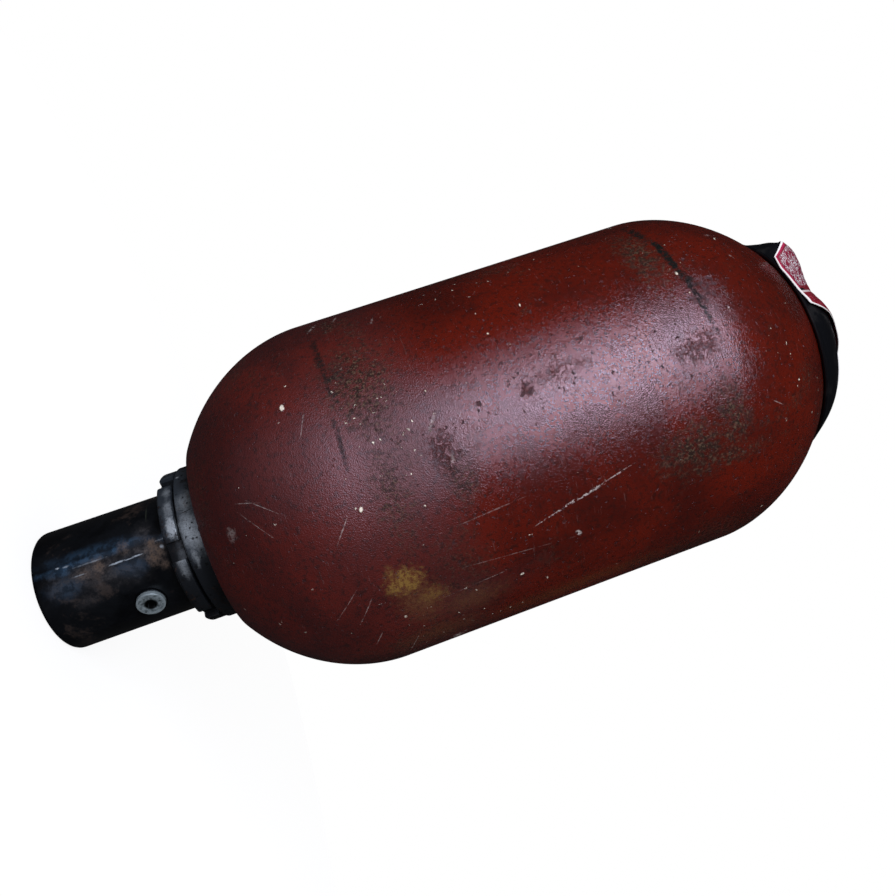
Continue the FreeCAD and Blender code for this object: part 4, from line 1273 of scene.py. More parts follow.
@dataclass(frozen=True)
class LabelFilm(Finish):
    """Printed foil label: paper edge, red border, and a silver field that has worn."""

    name = "label_film"
    gloss = Gloss(roughness=0.34, level=0.6)
    paper: str = "#ece6e2"
    border: str = "#a51c47"
    crimson: str = "#6f0f1e"
    bright_crimson: str = "#8c1327"
    silver: str = "#f1eaec"
    speck: str = "#7d1230"
    dark_speck: str = "#350a18"
    glint: str = "#e9b9c4"
    # painted shade of a crease that the mesh doesn't have
    crease_shade: str = "#120f10"
    length: float = 128.0
    width: float = 124.0
    paper_edge: float = 1.5
    border_width: float = 3.4
    silver_end: float = 31.0
    crease_at: float = 34.0

    def draw(self, sheet: Sheet, shader: bpy.types.Node) -> None:
        """Print the label along its own UV map, in millimetres."""
        uv = sheet.node("ShaderNodeUVMap", uv_map="print").outputs[0]
        along, across, edge = self.print_axes(sheet, uv)
        worn = sheet.noise(uv, 0.17, 5.0, 0.75)
        fine = sheet.noise(uv, 0.85, 3.0, 0.7)
        ragged = sheet.scaled(sheet.less(fine, 0.5), 1.6, edge)

        colour = sheet.mix(sheet.ramp(worn, 0.35, 0.7), self.crimson, self.bright_crimson)
        field = sheet.times(sheet.ramp(ragged, self.border_width, self.border_width + 1.2),
                            sheet.ramp(along, self.silver_end, self.silver_end - 1.5))
        lost = sheet.most(sheet.ramp(worn, 0.50, 0.54), sheet.ramp(fine, 0.46, 0.50))
        silver = sheet.mix(lost, self.silver, self.speck)
        silver = sheet.mix(sheet.ramp(fine, 0.56, 0.62, 0.0, 0.7), silver, self.dark_speck)
        colour = sheet.mix(field, colour, silver)
        rim = sheet.ramp(ragged, self.border_width, self.border_width - 1.0)
        rim = sheet.times(rim, sheet.ramp(along, self.silver_end + 3, self.silver_end))
        colour = sheet.mix(rim, colour, self.border)
        glints = sheet.times(sheet.ramp(fine, 0.60, 0.68), sheet.ramp(across, 30.0, 10.0))
        colour = sheet.mix(sheet.times(glints, 0.5), colour, self.glint)
        # painted shade: a dark line along a crease that the label's mesh doesn't model
        fold = sheet.ramp(sheet.math("ABSOLUTE", sheet.less(along, self.crease_at)), 1.5, 0.6)
        fold = sheet.times(fold, sheet.ramp(across, 9.0, 5.0))
        colour = sheet.mix(fold, colour, self.crease_shade)
        # painted highlight: a pale line beside that crease
        ridge = sheet.ramp(sheet.math("ABSOLUTE", sheet.less(along, self.crease_at + 2.0)), 1.3, 0.4)
        colour = sheet.mix(sheet.times(ridge, 0.6), colour, self.paper)
        colour = sheet.mix(sheet.ramp(edge, self.paper_edge, self.paper_edge - 0.3), colour, self.paper)
        sheet.feed(shader.inputs["Base Color"], colour)
        metal = sheet.times(field, sheet.less(1.0, lost))
        sheet.feed(shader.inputs["Metallic"], sheet.times(metal, 0.35))
        sheet.feed(shader.inputs["Roughness"], sheet.scaled(fine, 0.2, 0.24))
        self.relief(sheet, shader, sheet.scaled(fine, 0.4, worn), 0.12)

    def print_axes(self, sheet: Sheet, uv: Socket) -> tuple[Socket, Socket, Socket]:
        """Distances on the label: along it, in from its near edge, and in from any edge."""
        along, across, _ = sheet.split(uv)
        ends = sheet.math("MINIMUM", along, sheet.less(self.length, along))
        sides = sheet.math("MINIMUM", across, sheet.less(self.width, across))
        return along, across, sheet.math("MINIMUM", ends, sides)


# ---------------------------------------------------------------- the vessel
@dataclass
class Shell:
    """Forged pressure shell: domes that thicken into a machined neck at each end."""

    paint: ShellPaint = field(default_factory=ShellPaint)
    wall: float = 11.5
    straight: float = 224.4
    depth: float = 108.8
    port_power: float = 1.93
    gas_power: float = 1.805
    port_spot: float = 65.2
    port_land: float = 3.2
    gas_spot: float = 40.0
    port_neck: float = 45.0
    gas_neck: float = 20.4
    port_seat: float = 57.0
    port_neck_depth: float = 25.2
    gas_neck_depth: float = 24.8
    bevel: float = 1.0
    dome_spans: int = 44
    straight_spans: int = 24

    def outline(self) -> list[tuple[float, float]]:
        """Half section of the shell, as a closed ring."""
        low, high = box_mm("shell")
        girth = high.x
        inner = girth - self.wall
        spot = low.z + self.port_land
        lower = spot + dome_height(self.port_spot, girth, self.depth, self.port_power)
        upper = lower + self.straight
        seat = low.z + self.port_neck_depth
        gas_seat = high.z - self.gas_neck_depth
        port_depth = (lower - seat) / math.sqrt(1 - (self.port_seat / inner) ** 2)
        gas_depth = (gas_seat - upper) / math.sqrt(1 - (self.gas_spot / inner) ** 2)
        wall = [(girth, lower + self.straight * i / self.straight_spans)
                for i in range(1, self.straight_spans)]
        start = (self.port_neck, spot + self.bevel)
        return [
            start, (self.port_neck + self.bevel, spot),
            *dome_points(girth, self.depth, self.port_power, self.port_spot, girth, lower, -1,
                         self.dome_spans),
            *wall,
            *dome_points(girth, self.depth, self.gas_power, girth, self.gas_spot, upper, 1,
                         self.dome_spans),
            (self.gas_neck + self.bevel, high.z), (self.gas_neck, high.z - self.bevel),
            (self.gas_neck, gas_seat),
            *dome_points(inner, gas_depth, 2.0, self.gas_spot, inner, upper, 1, self.dome_spans // 2),
            *dome_points(inner, port_depth, 2.0, inner, self.port_seat, lower, -1, self.dome_spans // 2),
            (self.port_neck, seat), start,
        ]

    def build(self) -> None:
        """Turn the shell and paint it."""
        piece = turned("painted_shell", self.outline())
        smooth_faces(piece)
        finished(piece, ["shell"], self.paint.material())


@dataclass
class PortBody:
    """Fluid port: turned tube, inner thread, seal land, poppet seat and guide spider."""

    finish: BluedSteel = field(default_factory=BluedSteel)
    tube: float = 83.8
    end_round: float = 3.5
    thread_r: float = 29.8
    thread_depth: float = 30.0
    thread_pitch: float = 2.309
    thread_height: float = 1.45
    bore: float = 28.0
    tube_r: float = 39.0
    land: float = 40.0
    flange: float = 44.4
    flange_height: float = 10.0
    seat_mouth: float = 35.0
    hub_r: float = 17.0
    hub_low: float = 68.3
    hub_high: float = 106.3
    nose_r: float = 12.0
    nose_high: float = 112.3
    guide_r: float = 8.08
    dashpot_r: float = 13.0
    dashpot_high: float = 84.3
    rib_thickness: float = 6.0
    rib_count: int = 4
    rib_angle: float = 45.0
    rib_rake: float = 6.0
    rib_setback: float = 4.0
    bleed_angle: float = -54.0
    bleed_height: float = 60.3
    bleed_spot: float = 9.5
    bleed_hole: float = 6.1
    mouth_chamfer: float = 1.0
    land_step: float = 0.6
    land_chamfer: float = 1.0
    thread_start: float = 1.4
    thread_end: float = 1.8
    thread_bite: float = 0.1
    ridge_share: float = 0.84
    crest_share: float = 0.25
    drill_spare: float = 6.0

    def build(self) -> None:
        """Turn the body, cut the bleed seat, and add thread and spider."""
        top = box_mm("port_body")[1].z
        start = (self.thread_r, self.mouth_chamfer)
        step = self.tube + self.land_step
        body = turned("port_tube", softened([
            start, (self.thread_r + self.mouth_chamfer, 0.0, 0.3), (self.tube_r, 0.0, self.end_round),
            (self.tube_r, step), (self.land - self.land_chamfer, step), (self.land, step + self.land_chamfer),
            (self.land, top - self.flange_height), (self.flange, top - self.flange_height),
            (self.flange, top, 1.0), (self.seat_mouth, top, 0.2),
            (self.bore, top - self.seat_mouth + self.bore, 0.2), (self.bore, self.thread_depth),
            (self.thread_r, self.thread_depth), start,
        ]))
        flat = math.sqrt(self.tube_r ** 2 - self.bleed_spot ** 2)
        for radius, inner in ((self.bleed_spot, flat), (self.bleed_hole, self.bore - 2)):
            drill = prism("drill", 64, radius, inner, self.tube_r + self.drill_spare)
            drill.data.transform(self.aim())
            cut(body, drill)
        bevelled(body, 0.25, 40.0)
        joined(body, [self.thread(), self.hub(), *self.ribs()])
        smooth_faces(body)
        finished(body, ["port_body"], self.finish.material())

    def aim(self) -> Matrix:
        """Turn from +Z at the origin to the bleed screw's axis, outwards."""
        return (Matrix.Rotation(math.radians(self.bleed_angle), 4, "Z") @ Matrix.Translation(
            (0, 0, self.bleed_height)) @ Matrix.Rotation(math.radians(90), 4, "Y"))

    def thread(self) -> bpy.types.Object:
        """One ridge of triangular section wound up the mouth of the bore."""
        half = self.thread_pitch * self.ridge_share / 2
        wall, low = self.thread_r + self.thread_bite, self.thread_start
        crest = wall - self.thread_height
        section = [(wall, low), (wall, low + 2 * half), (crest, low + half * (1 + self.crest_share)),
                   (crest, low + half * (1 - self.crest_share)), (wall, low)]
        turns = int((self.thread_depth - self.thread_start - self.thread_end) / self.thread_pitch)
        return wound("port_thread_ridge", section, self.thread_pitch, turns, 96)

    def hub(self) -> bpy.types.Object:
        """Hub of the spider: stem guide above, dashpot below, nose for the spring."""
        start = (self.dashpot_r, self.hub_low)
        return turned("guide_hub", softened([
            start, (self.hub_r, self.hub_low, 0.6), (self.hub_r, self.hub_high, 0.4),
            (self.nose_r, self.hub_high, 0.4), (self.nose_r, self.nose_high, 0.6),
            (self.guide_r, self.nose_high, 0.3),
            (self.guide_r, self.dashpot_high), (self.dashpot_r, self.dashpot_high), start,
        ]), 96)

    def ribs(self) -> list[bpy.types.Object]:
        """Raked ribs from the hub to the bore's wall, one modelled and then copied."""
        root, wall = (self.hub_r + self.dashpot_r) / 2, self.bore + 2.0
        low, high = self.hub_low + self.rib_setback, self.hub_high - self.rib_setback
        rib = chain("guide_rib", [(root, low), (wall, low + self.rib_rake), (wall, high - self.rib_rake),
                                  (root, high), (root, low)])
        bpy.ops.mesh.remove_doubles(threshold=WELD)
        bpy.ops.mesh.select_all(action="SELECT")
        bpy.ops.mesh.edge_face_add()
        bpy.ops.transform.translate(value=(0, -self.rib_thickness / 2, 0))
        bpy.ops.mesh.extrude_region_move(TRANSFORM_OT_translate={"value": (0, self.rib_thickness, 0)})
        weld_and_face_out()
        done()
        bevelled(rib, 0.8)
        return fanned(rib, self.rib_count, self.rib_angle)


def wound(name: str, section: Sequence[Sequence[float]], pitch: float, turns: float,
          steps: int) -> bpy.types.Object:
    """Wind a closed section round +Z as a helix with closed ends.

    Args:
        name: Name of the new piece.
        section: (radius, height) points, ending where they start.
        pitch: Rise of each turn.
        turns: Number of turns.
        steps: Spans in each turn.

    Returns:
        The wound piece, in object mode.
    """
    piece = chain(name, section)
    bpy.ops.mesh.remove_doubles(threshold=WELD)
    done()
    apply(piece, "SCREW", angle=math.tau * turns, screw_offset=pitch * turns, iterations=1,
          steps=int(steps * turns), render_steps=int(steps * turns), axis="Z", use_smooth_shade=True)
    edit(piece)
    bpy.ops.mesh.select_mode(type="EDGE")
    bpy.ops.mesh.select_non_manifold(extend=False, use_wire=False, use_boundary=True,
                                     use_multi_face=False, use_non_contiguous=False, use_verts=False)
    bpy.ops.mesh.edge_face_add()
    bpy.ops.mesh.select_mode(type="VERT")
    weld_and_face_out()
    done()
    return piece


def fanned(piece: bpy.types.Object, count: int, first: float) -> list[bpy.types.Object]:
    """Turn a piece to its first place and copy it evenly round +Z, each copy with its own mesh."""
    copies = []
    for i in range(count):
        copy = piece if i == count - 1 else piece.copy()
        if copy is not piece:
            copy.data = piece.data.copy()
            bpy.context.scene.collection.objects.link(copy)
        copies.append(copy)
    for i, copy in enumerate(copies):
        copy.data.transform(Matrix.Rotation(math.radians(first + i * 360 / count), 4, "Z"))
    return copies


@dataclass
class BleedScrew:
    """Zinc-plated plug with a hexagon socket, on its sealing ring in the port's side."""

    port: PortBody
    head_r: float = 8.5
    head_height: float = 3.0
    ring_height: float = 1.5
    shank_r: float = 6.0
    shank: float = 6.0
    socket: float = 6.0
    socket_depth: float = 4.0
    rim: float = 0.55
    dish_rim: float = 1.6
    dish_slope: float = 0.4
    dish: float = 0.18
    key_turn: float = 8.0
    ring_gap: float = 0.1
    ring_proud: float = 0.3

    def build(self) -> None:
        """Turn screw and ring along +Z, cut the socket, and aim both."""
        flat = math.sqrt(self.port.tube_r ** 2 - self.port.bleed_spot ** 2)
        under = flat + self.ring_height
        top = under + self.head_height
        dish_r = self.socket / 2 + self.dish_rim
        screw = turned("bleed_plug", softened([
            (0, flat - self.shank), (self.shank_r, flat - self.shank, 0.6), (self.shank_r, under),
            (self.head_r, under, 0.3), (self.head_r, top, self.rim), (dish_r, top),
            (dish_r - self.dish_slope, top - self.dish), (0, top - self.dish),
        ]), 96)
        corner_r = self.socket / math.sqrt(3)
        cut(screw, prism("key", 6, corner_r, top - self.socket_depth, top + 1, self.key_turn))
        bevelled(screw, 0.18, 35.0)
        screw.data.transform(self.port.aim())
        smooth_faces(screw)
        zinc = ZincPlate(self.port.bleed_angle, self.port.bleed_height)
        finished(screw, ["bleed_screw"], zinc.material())
        ring_r, bore = self.head_r + self.ring_proud, self.shank_r + self.ring_gap
        ring = turned("bleed_ring", softened([
            (bore, flat), (ring_r, flat, 0.3), (ring_r, under, 0.3), (bore, under), (bore, flat),
        ]), 96)
        ring.data.transform(self.port.aim())
        smooth_faces(ring)
        finished(ring, ["bleed_seal_ring"],
                 PlainMetal("seal_ring_steel", "#3b3f42", "#1d1c1a", roughness=0.45).material())


@dataclass
class NeckRings:
    """Slotted lock nut and spacer ring on the port's neck."""

    finish: NutSteel = field(default_factory=NutSteel)
    bore: float = 40.1
    nut_r: float = 50.5
    nut_round: float = 2.0
    nut_flange: float = 9.1
    collar_r: float = 45.0
    slots: int = 6
    slot_width: float = 12.0
    slot_depth: float = 5.0
    nut_turn: float = -91.0
    cutter: float = 10.0
    run_out: float = 1.0
    skin: float = 0.01
    spacer_bore: float = 40.2
    spacer_r: float = 51.5
    spacer_height: float = 14.2
    sleeve_r: float = 44.8

    def build(self) -> None:
        """Turn the two rings and cut the spanner slots."""
        low, high = box_mm("slotted_lock_nut")
        ledge = low.z + self.nut_flange
        start = (self.bore, low.z)
        nut = turned("lock_nut", softened([
            start, (self.nut_r, low.z, self.nut_round), (self.nut_r, ledge, 0.7), (self.collar_r, ledge),
            (self.collar_r, high.z), (self.bore, high.z), start,
        ]))
        for i in range(self.slots):
            clear_selection()
            bpy.ops.mesh.primitive_cube_add(size=1)
            block = named("slot_cutter")
            reach = self.nut_r - self.slot_depth + self.cutter / 2
            tall = self.nut_flange + self.run_out
            block.data.transform(
                Matrix.Rotation(math.radians(self.nut_turn + i * 360 / self.slots), 4, "Z")
                @ Matrix.Translation((reach, 0, ledge - tall / 2))
                @ Matrix.Diagonal((self.cutter, self.slot_width, tall + 2 * self.skin, 1.0)))
            cut(nut, block)
        bevelled(nut, 0.35, 40.0)
        smooth_faces(nut)
        material = self.finish.material()
        finished(nut, ["slotted_lock_nut"], material)
        sleeve_top = box_mm("spacer_ring")[1].z
        start = (self.spacer_bore, high.z)
        top = high.z + self.spacer_height
        spacer = turned("spacer", softened([
            start, (self.spacer_r, high.z, 0.7), (self.spacer_r, top, 0.6), (self.sleeve_r, top),
            (self.sleeve_r, sleeve_top, 0.4), (self.spacer_bore, sleeve_top, 0.3), start,
        ]))
        smooth_faces(spacer)
        finished(spacer, ["spacer_ring"], material)


@dataclass(frozen=True)
class Coil:
    """One wire spring, wound from the height of its floor."""

    node: str
    joint: str
    wire: float
    mean: float
    coils: float
    steps: int
    floor: float
    height: float
    keep: float

    def wind(self, steel: bpy.types.Material) -> None:
        """Wind the spring at its full height."""
        rise = self.height - 2 * self.wire
        middle = self.floor + self.wire
        ring = [math.tau * i / WIRE_SIDES for i in range(WIRE_SIDES + 1)]
        section = [(self.mean + self.wire * math.cos(turn), middle + self.wire * math.sin(turn))
                   for turn in ring]
        piece = wound(self.node + "_wire", section, rise / self.coils, self.coils, self.steps)
        smooth_faces(piece, 60.0)
        finished(piece, [self.node], steel)
        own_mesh(piece)


@dataclass
class Springs:
    """The poppet's spring and the gas valve core's spring."""

    coils: tuple[Coil, ...] = (
        Coil("poppet_spring", "poppet_slide", 1.5, 14.5, 6.0, 48, floor=106.3, height=52.424, keep=0.771),
        Coil("core_spring", "pin_slide", 0.22, 1.7, 6.0, 32, floor=518.3, height=6.5, keep=0.815),
    )

    def build(self) -> None:
        """Wind both springs."""
        steel = PlainMetal("spring_wire", "#6d6f70", "#2e2a26", roughness=0.36, ring_scale=900.0).material()
        for coil in self.coils:
            coil.wind(steel)


@dataclass
class CapForm:
    """Outer form of the protective cap: half an ellipse, pressed out of true in places."""

    girth: float = 84.0
    rim_r: float = 79.0
    firm_above: float = 12.0
    crown_r: float = 34.0
    far_side: float = 20.0
    swell: tuple[tuple[float, float], ...] = (
        (-162.0, 0.0), (-156.0, 1.0), (-150.0, 4.6), (-146.5, 7.3), (-141.0, 9.4), (-137.0, 7.4),
        (-132.0, 4.2), (-127.0, 1.4), (-121.0, -0.4), (-116.0, -1.9), (-110.0, -0.9), (-104.0, 0.4),
        (-96.0, 1.0), (-84.0, 0.8), (-74.0, 0.4), (-50.0, 0.8), (-30.0, 0.0))

    @cached_property
    def rim(self) -> float:
        """Height of the rim."""
        return box_mm("protective_cap")[0].z

    @cached_property
    def semi(self) -> float:
        """Vertical semi-axis of the ellipse."""
        rise = box_mm("protective_cap")[1].z - self.rim
        return rise / (1 - math.sqrt(1 - (self.rim_r / self.girth) ** 2))

    @cached_property
    def centre(self) -> float:
        """Height of the ellipse's centre."""
        return box_mm("protective_cap")[1].z - self.semi

    def point(self, angle: float, radius: float, out: float) -> Vector:
        """Place on the pressed form.

        Args:
            angle: Angle about +Z.
            radius: Radius on the true ellipse.
            out: Distance outwards from the form.

        Returns:
            The place, in millimetres.
        """
        radius = min(radius, self.rim_r)
        height = self.semi * math.sqrt(1 - (radius / self.girth) ** 2)
        slope = Vector((radius / self.girth ** 2, height / self.semi ** 2)).normalized()
        out += self.press(angle, radius, self.centre + height)
        return polar(radius + slope.x * out, angle, self.centre + height + slope.y * out)

    def press(self, angle: float, radius: float, height: float) -> float:
        """How far the form stands out from the true ellipse at a place."""
        firm = smooth((height - self.rim) / self.firm_above) * smooth((radius - self.crown_r) / self.crown_r)
        return eased(self.swell, angle - 360 if angle > self.far_side else angle) * firm


@dataclass
class GasEnd:
    """Moulded cap over the gas valve, and the label that wraps over it."""

    form: CapForm = field(default_factory=CapForm)
    wall: float = 2.5
    lip: float = 0.7
    grip_r: float = 31.85
    grip_wall: float = 2.5
    grip_low: float = 522.05
    spans: int = 40

    def build(self) -> None:
        """Mould the cap, then lay its label."""
        self.cap()
        CapLabel(self.form).build()

    def cap(self) -> None:
        """Spin the cap with its wall and grip collar, and press it out of true."""
        form = self.form
        outer = self.arc(0.0)
        inner = self.arc(self.wall)
        rim_r, rim = outer[0]
        lip = [(rim_r - self.lip, rim), (inner[0][0] + self.lip, rim), (inner[0][0], rim + self.lip)]
        outline = [(0, outer[-1][1]), *reversed(outer[1:-1]), (rim_r, rim + self.lip), *lip,
                   *inner[1:-1], (0, inner[-1][1])]
        piece = turned("moulded_cap", outline)
        for vertex in piece.data.vertices:
            x, y, z = vertex.co
            radius = math.hypot(x, y)
            angle = math.degrees(math.atan2(y, x))
            push = form.press(angle, radius, z)
            slope = Vector((x / form.girth ** 2, y / form.girth ** 2, (z - form.centre) / form.semi ** 2))
            vertex.co += slope.normalized() * push
        start = (self.grip_r, self.grip_low)
        top = form.centre + dome_height(self.grip_r, form.girth, form.semi) - self.wall / 2
        grip = turned("grip_collar", [
            start, (self.grip_r + self.grip_wall, self.grip_low), (self.grip_r + self.grip_wall, top),
            (self.grip_r, top), start], 96)
        joined(piece, [grip])
        smooth_faces(piece, 40.0)
        finished(piece, ["protective_cap"],
                 Rubber("cap_moulding", "#07080c", "#2a2624", 0.36, 0.25, 0.05, 0.5).material())

    def arc(self, inset: float) -> list[tuple[float, float]]:
        """Ellipse from the rim to the crown, inset from the outer form."""
        form = self.form
        girth, semi = form.girth - inset, form.semi - inset
        start = girth * math.sqrt(1 - ((form.rim - form.centre) / semi) ** 2)
        return dome_points(girth, semi, 2.0, start, 0.0, form.centre, 1, self.spans)


@dataclass
class CapLabel:
    """Printed label wrapped over the cap, with its near edge standing proud."""

    form: CapForm
    film: LabelFilm = field(default_factory=LabelFilm)
    glue: float = 0.12
    thickness: float = 0.35
    near_edge: tuple[tuple[float, float, float], ...] = (
        (0.0, -132.7, 77.6), (0.10, -124.5, 79.0), (0.21, -115.3, 79.0), (0.29, -108.4, 78.6),
        (0.36, -102.9, 77.6), (0.40, -100.5, 74.1), (0.51, -96.6, 66.1), (0.60, -90.0, 58.7),
        (0.67, -82.0, 56.0), (0.76, -70.0, 52.0), (1.0, -42.0, 60.0))
    far_y: float = 22.0
    far_half: float = 46.0
    bow: float = 11.0
    lift: tuple[tuple[float, float], ...] = (
        (-133.0, 0.9), (-122.0, 0.1), (-112.0, 0.2), (-104.0, 1.2), (-100.0, 1.9), (-80.0, 1.7), (-66.0, 0.6))
    lift_share: float = 0.35
    along_spans: int = 150
    across_spans: int = 90

    def build(self) -> None:
        """Shape a grid to the cap, print its map, and give it thickness."""
        clear_selection()
        bpy.ops.mesh.primitive_grid_add(x_subdivisions=self.along_spans,
                                        y_subdivisions=self.across_spans, size=1)
        piece = named("printed_label")
        mesh = piece.data
        shares = [(v.co.x + 0.5, v.co.y + 0.5) for v in mesh.vertices]
        layer = mesh.uv_layers.active or mesh.uv_layers.new(name="print")
        layer.name = "print"
        for loop in mesh.loops:
            along, across = shares[loop.vertex_index]
            layer.data[loop.index].uv = (along * self.film.length, across * self.film.width)
        for vertex, (along, across) in zip(mesh.vertices, shares):
            vertex.co = self.point(along, across)
        edit(piece)
        bpy.ops.mesh.select_all(action="SELECT")
        bpy.ops.mesh.normals_make_consistent(inside=False)
        done()
        if mesh.polygons[len(mesh.polygons) // 2].normal.z < 0:
            mesh.flip_normals()
        apply(piece, "SOLIDIFY", thickness=self.thickness, offset=1.0)
        smooth_faces(piece, 50.0)
        finished(piece, ["cap_label"], self.film.material())

    def point(self, along: float, across: float) -> Vector:
        """Place of a point of the label on the cap.

        Args:
            along: Share of the label's length, from its left end.
            across: Share of its width, from its near edge.

        Returns:
            The place, in millimetres.
        """
        angle = self.read(along, 1)
        near = polar(self.read(along, 2), angle, 0.0)
        far = Vector((self.far_half * (2 * along - 1), self.far_y, 0.0))
        plan = near.lerp(far, across)
        plan.x += self.bow * math.sin(math.pi * across) * (2 * along - 1) ** 3
        turn = math.degrees(math.atan2(plan.y, plan.x))
        proud = eased(self.lift, angle) * (1 - smooth(across / self.lift_share))
        return self.form.point(turn, plan.length, self.glue + proud)

    def read(self, along: float, item: int) -> float:
        """Straight-line reading of the near edge's angle or radius."""
        for before, after in zip(self.near_edge, self.near_edge[1:]):
            if along <= after[0]:
                share = (along - before[0]) / (after[0] - before[0])
                return before[item] + (after[item] - before[item]) * share
        return self.near_edge[-1][item]


# ---------------------------------------------------------------- hidden and small CAD parts
class Stock(Enum):
    """Finishes of the parts that keep their CAD form."""

    TURNED_STEEL = PlainMetal("turned_steel", "#8b8e90", "#5a5650")
    DARK_STEEL = PlainMetal("dark_steel", "#34383b", "#1e1b19", roughness=0.42)
    ZINC_NUT = PlainMetal("zinc_nut", "#9aa1a6", "#6e6a5d", roughness=0.36)
    BRONZE = PlainMetal("bronze", "#a9743c", "#6d4524", roughness=0.3)
    BRASS = PlainMetal("brass", "#b8913f", "#7d5d2b", roughness=0.28)
    TEFLON = Rubber("teflon", "#dcdad2", "#b9b4a6", 0.42, 0.2, 0.03, 0.4)
    SEAL = Rubber("seal_rubber", "#0d0d0e", "#33302c", 0.5, 0.3, 0.05, 0.4)
    BLADDER = Rubber("bladder_rubber", "#111213", "#3a3835", 0.62, 0.45, 0.12, 0.35)


DRESSING = {
    Stock.TURNED_STEEL: ("poppet", "stem_lock_nut", "gas_valve_pin"),
    Stock.DARK_STEEL: ("port_washer", "anti_extrusion_half_back", "anti_extrusion_half_front"),
    Stock.ZINC_NUT: ("poppet_lock_nut", "gas_valve_stem"),
    Stock.BRONZE: ("damping_bush",),
    Stock.BRASS: ("gas_valve_core", "valve_seal_cap"),
    Stock.TEFLON: ("back_up_ring",),
    Stock.SEAL: ("port_o_ring", "stem_seal_ring", "seal_cap_o_ring", "anti_extrusion_band"),
    Stock.BLADDER: ("bladder",),
}


def dress_cad_parts() -> None:
    """Give each part that keeps its CAD form its own finish."""
    for stock, nodes in DRESSING.items():
        material = stock.value.material()
        for node in nodes:
            piece = bpy.data.objects[node]
            for slot in piece.material_slots:
                slot.material = material
            LOG.info("%s: finished as %s", node, stock.value.name)


# ---------------------------------------------------------------- studio and camera
@dataclass(frozen=True)
class Lamp:
    """Rectangular soft lamp that stands round the object and faces its axis."""

    name: str
    angle: float
    distance: float
    height: float
    aim: float
    width: float
    tall: float
    watts: float
    colour: str

    def build(self) -> None:
        """Hang the lamp."""
        data = bpy.data.lights.new(self.name, "AREA")
        data.shape = "RECTANGLE"
        data.size, data.size_y = self.width * MM, self.tall * MM
        data.energy = self.watts
        data.color = linear(self.colour)[:3]
        lamp = bpy.data.objects.new(self.name, data)
        bpy.context.scene.collection.objects.link(lamp)
        place = polar(self.distance, self.angle, self.height) * MM
        aim = Vector((0, 0, self.aim * MM))
        turn = (aim - place).to_track_quat("-Z", "Y").to_matrix().to_4x4()
        lamp.matrix_world = Matrix.Translation(place) @ turn


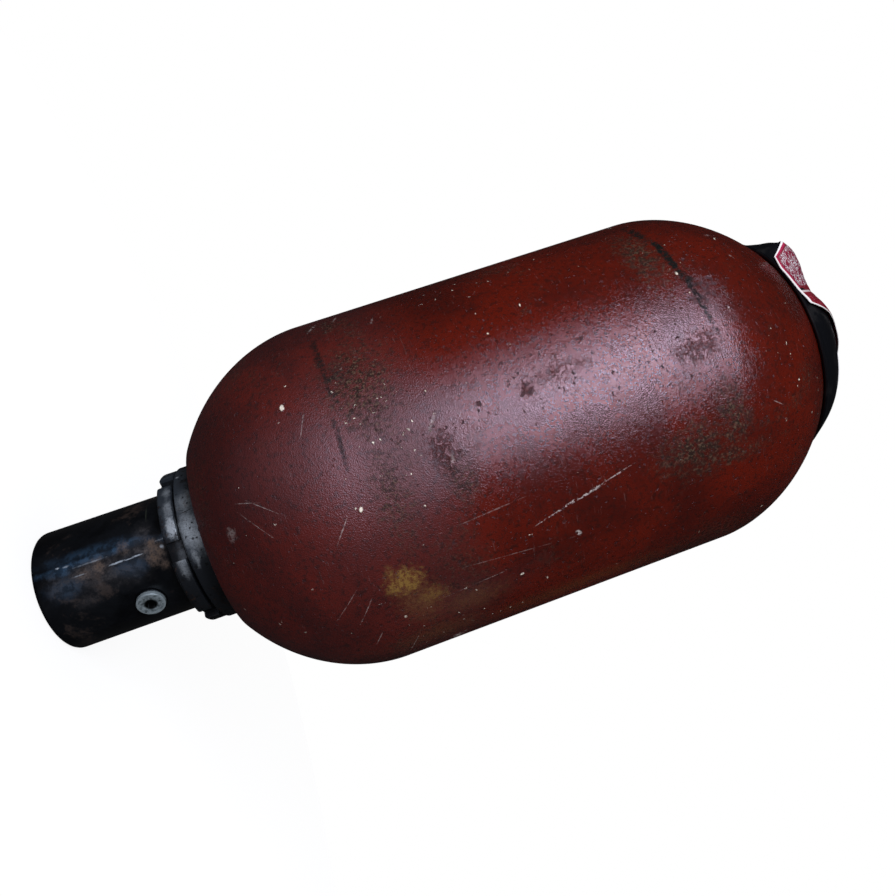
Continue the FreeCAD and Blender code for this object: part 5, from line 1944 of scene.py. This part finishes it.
@dataclass
class Studio:
    """Pale floor, plain surroundings and two soft lamps."""

    floor_r: float = 620.0
    lamps: tuple[Lamp, ...] = (
        Lamp("key_lamp", -106.0, 1120.0, 736.0, 306.0, 900.0, 350.0, 11.1, "#e6edff"),
        Lamp("low_strip", -108.0, 900.0, 156.0, 126.0, 700.0, 280.0, 1.5, "#e9eeff"),
    )
    ambient: float = 0.6
    seen_in_gloss: float = 0.012
    floor_glow: float = 0.86
    floor_gloss: float = 0.01
    white: str = "#ffffff"
    grey: str = "#7b7b7c"
    dim_grey: str = "#1c1c1d"

    def build(self) -> None:
        """Lay the floor, light the surroundings and hang the lamps."""
        self.floor()
        self.world()
        for lamp in self.lamps:
            lamp.build()

    def floor(self) -> None:
        """Lay a round pale floor that keeps the object's shadow."""
        clear_selection()
        bpy.ops.mesh.primitive_circle_add(vertices=128, radius=self.floor_r * MM, fill_type="NGON",
                                          location=(0, 0, 0))
        floor = named("studio_floor")
        material = bpy.data.materials.new("studio_floor")
        sheet = blank_sheet(material)
        shader = sheet.node("ShaderNodeBsdfPrincipled")
        rays = sheet.node("ShaderNodeLightPath").outputs
        sheet.feed(shader.inputs["Base Color"], sheet.mix(rays["Is Glossy Ray"], self.grey, self.dim_grey))
        sheet.feed(shader.inputs["Roughness"], 0.9)
        sheet.feed(shader.inputs["Emission Color"], self.white)
        seen = sheet.most(rays["Is Camera Ray"], rays["Is Transmission Ray"])
        glow = sheet.times(seen, self.floor_glow)
        glow = sheet.scaled(rays["Is Glossy Ray"], self.floor_gloss, glow)
        sheet.feed(shader.inputs["Emission Strength"], glow)
        sheet.show("ShaderNodeOutputMaterial", shader)
        floor.data.materials.append(material)

    def world(self) -> None:
        """Surround the object with even light that the camera sees as white."""
        world = bpy.data.worlds.new("studio_air")
        bpy.context.scene.world = world
        sheet = blank_sheet(world)
        rays = sheet.node("ShaderNodeLightPath").outputs
        seen = sheet.most(rays["Is Camera Ray"], rays["Is Transmission Ray"])
        level = sheet.blend(rays["Is Glossy Ray"], self.ambient, self.seen_in_gloss)
        sky = sheet.node("ShaderNodeBackground")
        sheet.feed(sky.inputs["Color"], self.white)
        sheet.feed(sky.inputs["Strength"], sheet.blend(seen, level, 1.0))
        sheet.show("ShaderNodeOutputWorld", sky)


@dataclass(frozen=True)
class Viewpoint:
    """Camera beside the vessel, rolled so that the vessel lies across the frame."""

    roll: float = 19.0909
    tilt: float = 6.0043
    place: tuple[float, float, float] = (-6.18, -479.7, 217.0)
    lens: float = 28.065
    sensor: float = 36.0

    def build(self) -> None:
        """Set up the camera and make it the scene's."""
        roll, tilt = math.radians(self.roll), math.radians(self.tilt)
        right = Vector((math.sin(roll), -math.sin(tilt) * math.cos(roll), math.cos(roll) * math.cos(tilt)))
        up = Vector((-math.cos(roll), -math.sin(tilt) * math.sin(roll), math.sin(roll) * math.cos(tilt)))
        back = right.cross(up)
        data = bpy.data.cameras.new("viewpoint")
        data.lens, data.sensor_width = self.lens, self.sensor
        data.clip_start, data.clip_end = 0.01, 20.0
        camera = bpy.data.objects.new("viewpoint", data)
        bpy.context.scene.collection.objects.link(camera)
        turn = Matrix((right, up, back)).transposed().to_4x4()
        camera.matrix_world = Matrix.Translation(Vector(self.place) * MM) @ turn
        bpy.context.scene.camera = camera


def main() -> None:
    """Build the accumulator's looks on its CAD frame."""
    logging.basicConfig(level=logging.INFO, stream=sys.stdout, format="%(message)s")
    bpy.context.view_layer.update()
    bpy.context.scene.view_settings.view_transform = "Standard"
    Viewpoint().build()
    port = PortBody()
    for part in (Shell(), port, BleedScrew(port), NeckRings(), Springs(), GasEnd()):
        LOG.info("building %s", type(part).__name__)
        part.build()
    dress_cad_parts()
    Studio().build()


if __name__ == "__main__":
    main()
